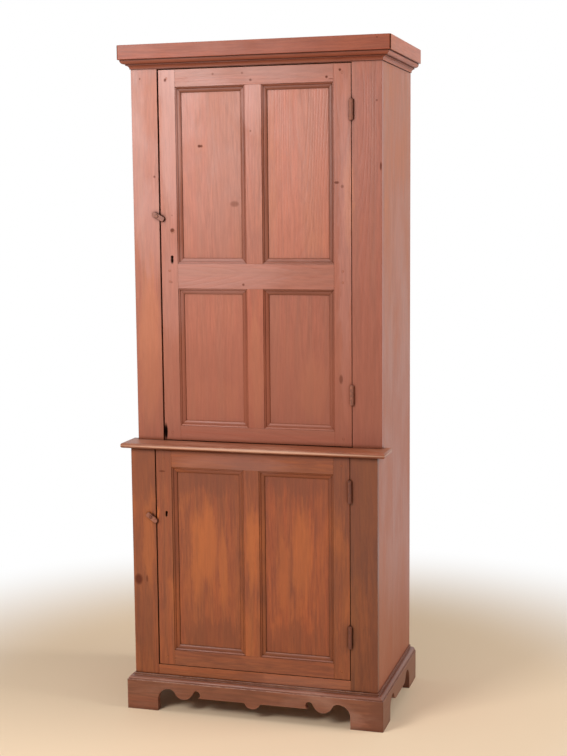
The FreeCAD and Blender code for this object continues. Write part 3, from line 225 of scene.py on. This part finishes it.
def wash(s, given, fibres, rings, blotches):
    """The washed grain's colour: streaks, patches, rings, open fibres, bands and specks."""
    place = given["Vector"]
    along = s.stretch(place, GRAIN_SHRINK)
    streaks = s.noise(along, *STREAKS)
    broad = s.noise(along, *BROAD_STREAKS)
    colour = s.mix(s.span(streaks, *STREAK_SPAN), given["Dark"], given["Light"])
    colour = s.mix(s.span(broad, *BROAD_SPAN), colour, given["Middle"])
    bare_patch = s.math("MULTIPLY", s.span(blotches, *BARE_SPAN), given["Patchy"])
    dark_patch = s.math("MULTIPLY", s.span(blotches, *DARK_SPAN), given["Patchy"])
    colour = s.mix(bare_patch, colour, given["Bare"])
    colour = s.mix(dark_patch, colour, given["Dark"])
    colour = s.mix(s.math("MULTIPLY", rings, RING_STRENGTH), colour, given["Dark"])
    colour = s.mix(s.span(fibres, *FIBRE_SPAN), colour, given["Soiling and shade"])
    bands = s.noise(s.stretch(place, BAND_SHRINK), *BANDS)
    tint = s.mix(s.span(bands, *BAND_SPAN), REDDER, BROWNER)
    colour = s.mix(1.0, colour, tint, "MULTIPLY")
    specks = s.node("ShaderNodeTexVoronoi", Vector=place, Scale=SPECK_CELLS).outputs
    cell = s.node("ShaderNodeSeparateColor", Color=specks["Color"]).outputs[0]
    chosen = s.math("GREATER_THAN", cell, SPECK_EMPTY)
    speck = s.math("MULTIPLY", s.span(specks["Distance"], *SPECK_SPAN), chosen)
    return s.mix(speck, colour, given["Soiling and shade"])


def moulding_soiling_and_shade(s, given):
    """How dark a point is painted because it lies in a moulding: soiling, and painted shade that is weaker on
    faces that look up.
    """
    depth = s.math("SUBTRACT", s.axis(s.coordinates("Object"), "Y"), given["Front"])
    inside = s.math("MULTIPLY", s.span(depth, *MOULDING_STARTS), s.span(depth, *MOULDING_ENDS))
    upward = s.span(s.axis(s.coordinates("Normal"), "Z"), *MOULDING_UPWARD)
    return s.math("MULTIPLY", s.math("MULTIPLY", inside, upward), given["Moulded"])


def rounded(s, reach, samples):
    """The normal as if edges were rounded, and how far it turns from the flat one: 0 away from edges."""
    bevel = s.node("ShaderNodeBevel", Radius=reach)
    bevel.samples = samples
    facing = s.tree.nodes.new("ShaderNodeVectorMath")
    facing.operation = "DOT_PRODUCT"
    s.feed(facing.inputs[0], bevel.outputs[0])
    s.feed(facing.inputs[1], s.tree.nodes.new("ShaderNodeNewGeometry").outputs["Normal"])
    return bevel.outputs[0], s.span(facing.outputs["Value"], *TURN_SPAN)


def make_wood_group():
    """Washed wood: grain, rings, patches, specks, worn edges, soiling, and painted shade and highlight. Its
    vector runs along the grain in Z.

    Wear is how far edges are rubbed, with a painted highlight on those that look up, Joint how dark the lines
    at joints and quirks are, Moulded how dark the mouldings are painted with soiling and shade, Grime how
    dark the hollows are painted with soiling and shade, Patchy how much the wash comes and goes, and Sheen
    its gloss.
    Front is where the board's front face stands: the mouldings lie a little behind it.
    """
    tree = bpy.data.node_groups.new("washed_wood", "ShaderNodeTree")
    for way, kind, names in WOOD_SOCKETS:
        for name in names:
            tree.interface.new_socket(name, in_out=way, socket_type=kind)
    s = Shader(tree)
    given = tree.nodes.new("NodeGroupInput").outputs
    place = given["Vector"]
    fibres = s.noise(s.stretch(place, GRAIN_SHRINK), *FIBRES)
    blotches = s.noise(s.stretch(place, BLOTCH_SHRINK), *BLOTCHES)
    field = s.noise(s.stretch(place, RING_SHRINK), *RING_FIELD)
    rings = s.span(s.math("SINE", s.math("MULTIPLY", field, RING_COUNT)), *RING_SPAN)
    colour = wash(s, given, fibres, rings, blotches)
    # Mouldings painted darker: soiling, and painted shade that is weaker on faces that look up
    soiling_and_shade_in_moulding = moulding_soiling_and_shade(s, given)
    colour = s.mix(soiling_and_shade_in_moulding, colour, given["Soiling and shade"])

    # Edges rubbed to bare wood: wear, and more on edges that look up as a painted highlight
    soft, edge = rounded(s, *EDGE)
    upward = s.span(s.axis(soft, "Z"), *UPWARD_SPAN)
    rub = s.span(s.noise(place, *RUBBING), *RUBBING_SPAN)
    reach = s.math("ADD", s.math("MULTIPLY", upward, WEAR_UPWARD), WEAR_ANYWAY)
    reach = s.math("MULTIPLY", reach, given["Wear"])
    worn = s.math("MULTIPLY", s.math("MULTIPLY", edge, rub), reach, True)
    colour = s.mix(worn, colour, given["Bare"])
    arris, line = rounded(s, *ARRIS)
    # Dark lines kept off edges that look up, which catch the light: elsewhere partly painted shade
    not_facing_up = s.math("SUBTRACT", 1.0, s.math("MULTIPLY", upward, LINE_UPWARD))
    line = s.math("MULTIPLY", line, not_facing_up)
    colour = s.mix(s.math("MULTIPLY", line, given["Joint"]), colour, given["Soiling and shade"])

    # Hollows and gaps painted darker: soiling, and painted shade where little light gets in
    hollow = s.node("ShaderNodeAmbientOcclusion", Distance=CAVITY[0])
    hollow.samples = CAVITY[1]
    soiling_and_shade_in_hollows = s.math("MULTIPLY", s.span(hollow.outputs["AO"], *CAVITY_SPAN), given["Grime and shade"])
    colour = s.mix(soiling_and_shade_in_hollows, colour, given["Soiling and shade"])
    colour = s.mix(1.0, colour, given["Shade"], "MULTIPLY")
    gloss = given["Sheen"]
    for dull in (soiling_and_shade_in_hollows, line, soiling_and_shade_in_moulding):
        gloss = s.math("MULTIPLY", gloss, s.math("SUBTRACT", 1.0, dull))

    height = s.math("MULTIPLY", fibres, FIBRE_RISE)
    for pattern, rise in ((rings, RING_RISE), (blotches, BLOTCH_RISE)):
        height = s.math("ADD", height, s.math("MULTIPLY", pattern, rise))
    results = (
        ("Color", colour), ("Roughness", s.span(blotches, *ROUGHNESS_SPAN)), ("Gloss", gloss),
        ("Height", height), ("Normal", arris),
    )
    out = tree.nodes.new("NodeGroupOutput")
    for name, source in results:
        tree.links.new(source, out.inputs[name])
    return tree


# ---------------------------------------------------------------- marks on the wood
# Every mark is an x and z, a half width and half height in metres, and a strength. A mark goes through
# the wood, so it shows at the back as well. These are knots, nail holes, a plug and a scar
KNOTS = (
    (-0.183, 1.818, 0.0050, 0.0045, 0.9), (-0.176, 1.818, 0.0042, 0.0040, 0.8),
    (-0.069, 1.637, 0.0140, 0.0090, 0.45), (0.263, 1.699, 0.0080, 0.0040, 0.75),
    (0.281, 1.687, 0.0050, 0.0050, 0.5), (0.275, 1.093, 0.0060, 0.0140, 0.6),
    (-0.388, 0.430, 0.0130, 0.0170, 0.9), (-0.359, 0.434, 0.0035, 0.0110, 0.6),
    (-0.300, 0.790, 0.0100, 0.0030, 0.7), (-0.275, 1.556, 0.0065, 0.0065, 0.85),
    (0.233, 2.017, 0.0040, 0.0040, 0.9), (0.247, 2.011, 0.0070, 0.0016, 0.6),
    (0.275, 2.037, 0.0040, 0.0040, 0.9), (-0.290, 2.024, 0.0040, 0.0050, 0.8),
    (-0.009, 2.016, 0.0045, 0.0035, 0.7), (-0.132, 2.038, 0.0035, 0.0035, 0.5),
    (-0.036, 2.038, 0.0030, 0.0030, 0.6), (-0.011, 1.861, 0.0030, 0.0030, 0.6),
    (-0.332, 1.725, 0.0035, 0.0035, 0.8), (-0.375, 2.031, 0.0025, 0.0030, 0.7),
    (0.401, 1.746, 0.0030, 0.0120, 0.8), (0.389, 1.943, 0.0035, 0.0030, 0.6),
    (0.397, 2.125, 0.0030, 0.0020, 0.8), (-0.275, 1.603, 0.0020, 0.0020, 0.6),
    (-0.280, 1.391, 0.0040, 0.0030, 0.4), (-0.040, 1.385, 0.0040, 0.0035, 0.8),
)
# Painted shadow: near black round the keyholes, which makes them look bigger, and on the broken corner of
# the upper door
HOLE_SHADOWS = (
    (-0.277, 1.461, 0.0050, 0.0110, 0.9), (-0.288, 0.650, 0.0040, 0.0085, 0.8),
    (-0.309, 0.908, 0.0060, 0.0260, 1.0),
)
# Places where the wash is rubbed to orange wood
RUBBED = (
    (-0.358, 1.190, 0.034, 0.240, 0.55), (0.000, 1.120, 0.024, 0.190, 0.45),
    (-0.150, 0.560, 0.030, 0.130, 0.6), (-0.190, 0.520, 0.022, 0.150, 0.5),
    (-0.100, 0.480, 0.016, 0.120, 0.5), (0.160, 0.540, 0.034, 0.150, 0.5),
    (0.100, 0.480, 0.020, 0.130, 0.4), (0.000, 0.560, 0.018, 0.120, 0.45),
    (-0.350, 0.560, 0.020, 0.140, 0.4), (-0.320, 0.643, 0.004, 0.018, 0.95),
    (-0.140, 0.812, 0.060, 0.012, 0.60), (0.300, 1.640, 0.014, 0.150, 0.40),
    (0.185, 1.060, 0.045, 0.100, 0.30), (-0.100, 1.020, 0.040, 0.060, 0.20),
)
# Places where the wash has a chalky bloom; on the upper left stiles the pale patches are painted sheen
# as well, where the light glances off
BLOOM_AND_PAINTED_SHEEN = {
    # the upper left stiles: bloom with painted sheen
    "upper_door_lock_stile": ((-0.272, 1.880, 0.034, 0.260, 0.32), (-0.275, 1.360, 0.040, 0.140, 0.16)),
    "upper_left_face_stile": ((-0.390, 1.780, 0.030, 0.260, 0.15), (-0.345, 1.560, 0.050, 0.140, 0.22)),
    "upper_door_lock_rail": ((-0.130, 1.415, 0.210, 0.070, 0.26),),
    "upper_door_top_muntin": ((-0.005, 1.960, 0.040, 0.100, 0.25),),
    "upper_door_hinge_stile": ((0.290, 1.500, 0.020, 0.500, 0.20),),
    "lower_door_top_rail": ((-0.060, 0.820, 0.180, 0.030, 0.25),),
    "sill_rail": ((0.150, 0.130, 0.200, 0.020, 0.10),),
}
# Places darkened by soiling and handling, and broad painted shade that makes the upper case darker
# towards its lower part and round the waist, and the right side darker low down
SOILING_AND_PAINTED_SHADE = (
    (-0.135, 0.770, 0.100, 0.045, 0.55), (0.135, 0.770, 0.100, 0.040, 0.4),
    (-0.135, 0.250, 0.100, 0.060, 0.5), (0.135, 0.250, 0.100, 0.060, 0.45),
    (-0.372, 0.780, 0.040, 0.090, 0.4), (-0.372, 0.300, 0.036, 0.110, 0.35),
    (0.360, 0.700, 0.060, 0.160, 0.35), (-0.020, 0.133, 0.060, 0.015, 0.5),
    # painted shade: darker round the waist and the lower part of the upper case
    (0.000, 0.960, 0.620, 0.260, 0.45), (0.050, 1.200, 0.620, 0.360, 0.20),
    # painted shade: the right side darker low down
    (0.440, 0.100, 0.060, 0.320, 0.70), (0.440, 0.500, 0.060, 0.400, 0.35),
)
# A mark's share of its strength by the square of the distance from its middle, in its half sizes
SPOT_SPAN = (1.7, 0.25)
# Ragged edges: their noise, how it is drawn out along the grain, how far in metres it moves them, and
# how many times that sideways and up on a board whose grain runs level, and on any other
RAGGED = (45, 5, 0.65)
RAGGED_SHRINK = 0.2
WANDER = 0.05
WANDER_LEVEL, WANDER_UPRIGHT = (4, 0.5), (1, 4)
# The worn line along the waist board's nose: its half height as a share of the board's, its strength
NOSE_LINE, NOSE_WEAR = 0.2, 0.7
# A node takes marks if it starts in front of this place on the Y axis
FRONT_REACH = -0.15


def spot(s, across, up, mark):
    """How strong a mark is at a point: its strength in the middle, 0 outside."""
    x, z, wide, tall, strength = mark
    from_x = s.math("DIVIDE", s.math("SUBTRACT", across, x), wide)
    from_z = s.math("DIVIDE", s.math("SUBTRACT", up, z), tall)
    square = s.math("ADD", s.math("MULTIPLY", from_x, from_x), s.math("MULTIPLY", from_z, from_z))
    return s.span(square, *SPOT_SPAN, 0.0, strength)


def touches(mark, low, high):
    """Whether a mark reaches a node's box, seen from the front."""
    x, z, wide, tall = mark[:4]
    return low[0] < x + wide and x - wide < high[0] and low[2] < z + tall and z - tall < high[2]


def marks_for(name, palette, low, high):
    """Sets of marks, each with its colour, how far its edges wander, and whether it is dull."""
    if name == "waist_board":
        nose = (0, (low[2] + high[2]) / 2, high[0], NOSE_LINE * (high[2] - low[2]), NOSE_WEAR)
        return (((nose,), palette[BARE], 0, False),)
    return (
        (RUBBED, palette[BARE], WANDER, False), (BLOOM_AND_PAINTED_SHEEN.get(name, ()), CHALK_AND_SHEEN, WANDER, False),
        (SOILING_AND_PAINTED_SHADE, palette[DARK], WANDER, False), (KNOTS, KNOT_BROWN, 0, True), (HOLE_SHADOWS, HOLE_SHADOW_BLACK, 0, True),
    )


def add_marks(s, name, colour, gloss, palette):
    """Lay the marks that fall on a node over its colour and gloss, if it reaches the front or is a side."""
    low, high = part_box(name)
    if low[1] > FRONT_REACH and "side" not in name:
        return colour, gloss
    lengthwise = grain_axis(name) == "X"
    drawn_out = (RAGGED_SHRINK, 1, 1) if lengthwise else (1, 1, RAGGED_SHRINK)
    sideways, upwards = WANDER_LEVEL if lengthwise else WANDER_UPRIGHT
    place = s.coordinates("Object")
    drift = s.math("SUBTRACT", s.noise(s.stretch(place, drawn_out), *RAGGED), 0.5)
    for marks, over, wander, dull in marks_for(name, palette, low, high):
        across = s.math("ADD", s.axis(place, "X"), s.math("MULTIPLY", drift, wander * sideways))
        up = s.math("ADD", s.axis(place, "Z"), s.math("MULTIPLY", drift, wander * upwards))
        for mark in marks:
            if touches(mark, low, high):
                share = spot(s, across, up, mark)
                colour = s.mix(share, colour, over)
                if dull:
                    gloss = s.math("MULTIPLY", gloss, s.math("SUBTRACT", 1.0, share))
    return colour, gloss


# ---------------------------------------------------------------- which finish goes where
# Words in the names of nodes
LENGTHWISE = (
    "rail", "fascia_front", "moulding_front", "board_front", "waist_board", "shelf", "bottom_board",
    "deck_board", "top_board", "turn_button",
)
ENDWAYS = (
    "fascia_left", "fascia_right", "moulding_left", "moulding_right", "base_board_left",
    "base_board_right", "pegs",
)
CARCASS_PINE = ("shelf", "bottom_board", "deck_board", "top_board", "back_boards", "foot_blocks")
WASHED_IRON = ("hinge_case_leaves", "hinge_door_leaves", "hinge_pins", "nails")
IRON = ("lock_case", "lock_bolt")
# Boards that are darker, redder or paler than their neighbours: their own tone, and painted shade on
# the right-hand face stiles, which are made darker where less light falls on them
BOARD_SHADES = {
    "upper_left_face_stile": (0.93, 0.95, 0.94, 1), "upper_right_face_stile": (0.86, 0.84, 0.88, 1),
    "upper_door_lock_stile": (1.00, 1.04, 1.10, 1), "upper_door_hinge_stile": (0.90, 0.88, 0.88, 1),
    "upper_door_lock_rail": (0.92, 0.99, 1.08, 1), "left_side_front_board": (0.90, 0.92, 0.71, 1),
    "right_side_front_board": (0.90, 0.92, 0.71, 1), "right_side_rear_board": (0.88, 0.87, 0.68, 1),
    "left_side_rear_board": (0.88, 0.87, 0.68, 1),
    "upper_door_bottom_panel_right": (0.90, 0.86, 0.84, 1), "upper_door_bottom_muntin": (0.98, 0.84, 0.74, 1),
    "lower_right_face_stile": (0.68, 0.74, 0.78, 1), "lower_door_hinge_stile": (0.90, 0.90, 0.90, 1),
    "lower_left_face_stile": (0.92, 0.92, 0.84, 1), "lower_door_bottom_rail": (0.88, 0.94, 1.16, 1),
    "lower_door_top_rail": (1.24, 1.28, 1.28, 1), "sill_rail": (1.05, 1.12, 1.15, 1),
    "upper_door_top_rail": (0.90, 0.88, 0.86, 1), "upper_door_top_panel_right": (1.08, 1.08, 1.06, 1),
    "lower_door_panel_right": (1.10, 1.02, 0.98, 1), "cornice_fascia_front": (0.75, 0.59, 0.49, 1),
    "bed_moulding_front": (0.68, 0.66, 0.68, 1),
}


def grain_axis(name):
    """Which way a node's grain runs."""
    if any(word in name for word in ENDWAYS):
        return "Y"
    if any(word in name for word in LENGTHWISE) and "side" not in name:
        return "X"
    return "Z"


def palette_of(name):
    """A wooden node's colours, and its amounts of Wear, Joint, Moulded, Grime, Patchy and Sheen.

    The first test that fits counts. The names that start with lower and get past the door's frame are
    its panels and the lower face stiles.
    """
    if any(word in name for word in CARCASS_PINE):
        return PINE, 0.2, 0.2, 0.0, 0.7, 0.3, 0.4
    # The buttons' strong dark edge lines and darker sides are soiling and painted shadow
    if "turn_button" in name:
        return BUTTON_WASH, 0.0, 0.9, 0.6, 0.8, 0.2, 0.4
    if name.startswith("base_board"):
        return BASE_WASH, 1.0, 0.0, 0.0, 0.35, 0.3, 0.5
    if name == "waist_board":
        return WAIST_WASH, 1.0, 0.0, 0.0, 0.8, 0.3, 0.5
    if name.startswith("bed_moulding"):
        return UPPER_WASH, 0.2, 0.0, 0.0, 0.8, 0.2, 0.2
    if name.startswith("cornice_fascia"):
        return UPPER_WASH, 0.4, 0.3, 0.0, 0.9, 0.25, 0.25
    if "panel" not in name and name.startswith("lower_door"):
        return LOWER_WASH, 0.7, 0.7, 0.22, 0.9, 0.5, 0.5
    if name.startswith("lower") or name == "sill_rail":
        return LOWER_WASH, 0.4, 0.3, 0.0, 0.9, 0.5, 0.5
    if "door" in name and "panel" not in name:
        return UPPER_WASH, 0.5, 0.8, 0.42, 0.9, 0.2, 0.5
    if "side" in name:
        return UPPER_WASH, 0.4, 0.3, 0.0, 0.9, 0.25, 0.25
    return UPPER_WASH, 0.4, 0.3, 0.0, 0.9, 0.25, 0.5


# ---------------------------------------------------------------- materials
# How far the turn buttons lie from level, in degrees
UPPER_TILT, LOWER_TILT = 28, 36
# How a place is turned so that the grain runs in Z
GRAIN_TURN = {
    "X": (0, math.pi / 2, 0), "Y": (math.pi / 2, 0, 0), "Z": (0, 0, 0),
    "upper_turn_button": (0, math.radians(90 - UPPER_TILT), 0),
    "lower_turn_button": (0, math.radians(90 - LOWER_TILT), 0),
}
# How far a board's grain is moved from its neighbour's
BOARD_OFFSET = (0.73, 1.19, 2.41)
# The relief of wood and of iron: strength, and height in metres
WOOD_BUMP, IRON_BUMP = (0.6, 0.0007), (0.5, 0.0004)
# Rust: its noise, where it shows, and how rough it is
RUST = (160, 6, 0.65)
RUST_SPAN = (0.42, 0.66)
RUST_ROUGHNESS = (0.35, 0.65, 0.42, 0.85)
# Heights in metres over which the iron takes the lower case's tint
IRON_LOW = (1.0, 0.9)
# Looks of iron: dark, rusty, how metallic, and the tint low down
OLD_IRON_LOOK = (tone(52, 40, 36), tone(112, 66, 44), 0.6, WHITE)
WASHED_IRON_LOOK = (tone(126, 76, 58), tone(166, 106, 84), 0.0, (0.62, 0.50, 0.42, 1))


def new_material(name):
    """An empty material, calls to build it with, and its shader."""
    material = bpy.data.materials.new(name)
    material.use_nodes = True
    return material, Shader(material.node_tree), material.node_tree.nodes["Principled BSDF"]


def raise_surface(s, shader, height, relief, normal=None):
    """Bump a shader's surface."""
    bump = s.node("ShaderNodeBump", Height=height)
    bump.inputs["Strength"].default_value = relief[0]
    bump.inputs["Distance"].default_value = relief[1]
    if normal is not None:
        s.feed(bump.inputs["Normal"], normal)
    s.feed(shader.inputs["Normal"], bump.outputs[0])


def wood(name, number, washed_wood):
    """A washed wood with its own grain direction, shifted so that no two boards match."""
    palette, wear, joint, moulding, hollow_soiling_and_shade, patchy, sheen = palette_of(name)
    material, s, shader = new_material("wood_" + name)
    turned = s.node("ShaderNodeMapping", Vector=s.coordinates("Object"))
    turned.inputs["Rotation"].default_value = GRAIN_TURN[name if name in GRAIN_TURN else grain_axis(name)]
    turned.inputs["Location"].default_value = [step * number for step in BOARD_OFFSET]
    group = s.tree.nodes.new("ShaderNodeGroup")
    group.node_tree = washed_wood
    s.feed(group.inputs["Vector"], turned.outputs[0])
    amounts = (
        ("Shade", BOARD_SHADES.get(name, WHITE)), ("Wear", wear), ("Joint", joint), ("Moulded", moulding),
        ("Grime and shade", hollow_soiling_and_shade), ("Patchy", patchy), ("Sheen", sheen), ("Front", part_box(name)[0][1]),
    )
    for socket, amount in (*zip(PALETTE, palette), *amounts):
        group.inputs[socket].default_value = amount
    colour, gloss = add_marks(s, name, group.outputs["Color"], group.outputs["Gloss"], palette)
    s.feed(shader.inputs["Base Color"], colour)
    s.feed(shader.inputs["Roughness"], group.outputs["Roughness"])
    s.feed(shader.inputs["Specular IOR Level"], gloss)
    raise_surface(s, shader, group.outputs["Height"], WOOD_BUMP, group.outputs["Normal"])
    return material


def make_iron(name, dark, rusty, metallic, low_down):
    """Old iron: dark and rusty, or washed over with the doors. Low down it takes a tint."""
    material, s, shader = new_material(name)
    place = s.coordinates("Object")
    rust = s.noise(place, *RUST)
    colour = s.mix(s.span(rust, *RUST_SPAN), dark, rusty)
    tinted = s.mix(1.0, colour, low_down, "MULTIPLY")
    colour = s.mix(s.span(s.axis(place, "Z"), *IRON_LOW), colour, tinted)
    s.feed(shader.inputs["Base Color"], colour)
    s.feed(shader.inputs["Roughness"], s.span(rust, *RUST_ROUGHNESS))
    shader.inputs["Metallic"].default_value = metallic
    raise_surface(s, shader, rust, IRON_BUMP)
    return material


# ---------------------------------------------------------------- worn edges
# How wide the edges are rounded, in metres, by a word in the node's name: the first that fits
EDGE_ROUNDING = {
    "side_front_board": 0.0008, "side_rear_board": 0.0008, "face_stile": 0.0008, "rail": 0.0006,
    "fascia": 0.0015, "base_board": 0.0008, "waist_board": 0.0010, "turn_button": 0.0008,
}
# Points closer than this, in metres, are joined first, and edges sharper than this, in degrees, rounded
JOINED, SHARP = 0.00001, 40


def round_edges(name, piece):
    """Round the sharp edges of the boards that show. A board's faces come apart, so they are joined first.

    The doors are left as they are: their edges are softened in the shading.
    """
    width = next((size for word, size in EDGE_ROUNDING.items() if word in name), None)
    if width is None or "door" in name:
        return
    weld = piece.modifiers.new("joined_faces", "WELD")
    weld.merge_threshold = JOINED
    bevel = piece.modifiers.new("worn_edges", "BEVEL")
    bevel.width = width
    bevel.segments = 2
    bevel.limit_method = "ANGLE"
    bevel.angle_limit = math.radians(SHARP)
    bevel.harden_normals = True


def finish_nodes():
    """Give every CAD node its finish and worn edges."""
    washed_wood = make_wood_group()
    old_iron = make_iron("old_iron", *OLD_IRON_LOOK)
    washed_iron = make_iron("washed_iron", *WASHED_IRON_LOOK)
    for number, name in enumerate(sorted(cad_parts)):
        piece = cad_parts[name]
        if any(word in name for word in IRON):
            material = old_iron
        elif any(word in name for word in WASHED_IRON):
            material = washed_iron
        else:
            material = wood(name, number, washed_wood)
        for holder in piece.material_slots:
            holder.material = material
        round_edges(name, piece)


# ---------------------------------------------------------------- stage
# The floor: its half width in metres, its colour and roughness, and how far out it fades, in metres
FLOOR_HALF = 30
FLOOR_TONE = tone(241, 215, 182)
FLOOR_ROUGHNESS = 0.85
FLOOR_FADE = (0.9, 2.1)
AMBIENT_STRENGTH = 0.27
# Name, place, the point it is aimed at, its size in metres and its power in watts
LAMPS = (
    ("key", (-1.25, -2.5, 2.35), (0, 0, 1.5), 1.2, 62),
    ("fill", (3.6, 0.2, 3.4), (0.4, 0, 1.3), 2.0, 92),
    ("top", (0.0, -0.4, 4.8), (0, 0, 1.6), 2.0, 30),
)


def seen_directly(s):
    """1 for rays from the camera or off something shiny, 0 for light that falls on things."""
    path = s.tree.nodes.new("ShaderNodeLightPath").outputs
    shiny = s.math("MAXIMUM", path["Is Glossy Ray"], path["Is Transmission Ray"])
    return s.math("MAXIMUM", path["Is Camera Ray"], shiny)


def blend_shaders(s, share, first, second, output):
    """Show the first shader with a share of the second over it."""
    blend = s.tree.nodes.new("ShaderNodeMixShader")
    s.feed(blend.inputs[0], share)
    s.feed(blend.inputs[1], first.outputs[0])
    s.feed(blend.inputs[2], second.outputs[0])
    s.feed(output.inputs["Surface"], blend.outputs[0])


def make_floor():
    """A pale floor that fades into the backdrop far away."""
    mesh = bpy.data.meshes.new("floor")
    corners = [(x * FLOOR_HALF, y * FLOOR_HALF, 0) for x, y in ((-1, -1), (1, -1), (1, 1), (-1, 1))]
    mesh.from_pydata(corners, [], [(0, 1, 2, 3)])
    floor = bpy.data.objects.new("floor", mesh)
    bpy.context.scene.collection.objects.link(floor)
    material, s, shader = new_material("floor")
    shader.inputs["Base Color"].default_value = FLOOR_TONE
    shader.inputs["Roughness"].default_value = FLOOR_ROUGHNESS
    length = s.tree.nodes.new("ShaderNodeVectorMath")
    length.operation = "LENGTH"
    s.feed(length.inputs[0], s.coordinates("Object"))
    far = s.span(length.outputs["Value"], *FLOOR_FADE)
    glow = s.node("ShaderNodeEmission", Color=WHITE)
    output = s.tree.nodes["Material Output"]
    blend_shaders(s, s.math("MULTIPLY", far, seen_directly(s)), shader, glow, output)
    mesh.materials.append(material)


def make_world():
    """Soft white surroundings that light the object, and the pale backdrop that the camera sees."""
    world = bpy.data.worlds.new("world")
    world.use_nodes = True
    bpy.context.scene.world = world
    s = Shader(world.node_tree)
    ambient = s.tree.nodes["Background"]
    ambient.inputs["Color"].default_value = WHITE
    ambient.inputs["Strength"].default_value = AMBIENT_STRENGTH
    backdrop = s.node("ShaderNodeBackground", Color=WHITE, Strength=1.0)
    blend_shaders(s, seen_directly(s), ambient, backdrop, s.tree.nodes["World Output"])


def make_lamp(name, place, target, size, power):
    """A soft square lamp aimed at a point."""
    data = bpy.data.lights.new(name, "AREA")
    data.shape = "SQUARE"
    data.size = size
    data.energy = power
    lamp = bpy.data.objects.new(name, data)
    lamp.location = place
    lamp.rotation_euler = (Vector(target) - Vector(place)).to_track_quat("-Z", "Y").to_euler()
    bpy.context.scene.collection.objects.link(lamp)


make_camera()
make_floor()
make_world()
# A key from the upper left, whose sheen shows near the top, a fill on the right side and a top light
for lamp in LAMPS:
    make_lamp(*lamp)
finish_nodes()
bpy.context.scene.view_settings.view_transform = "Standard"
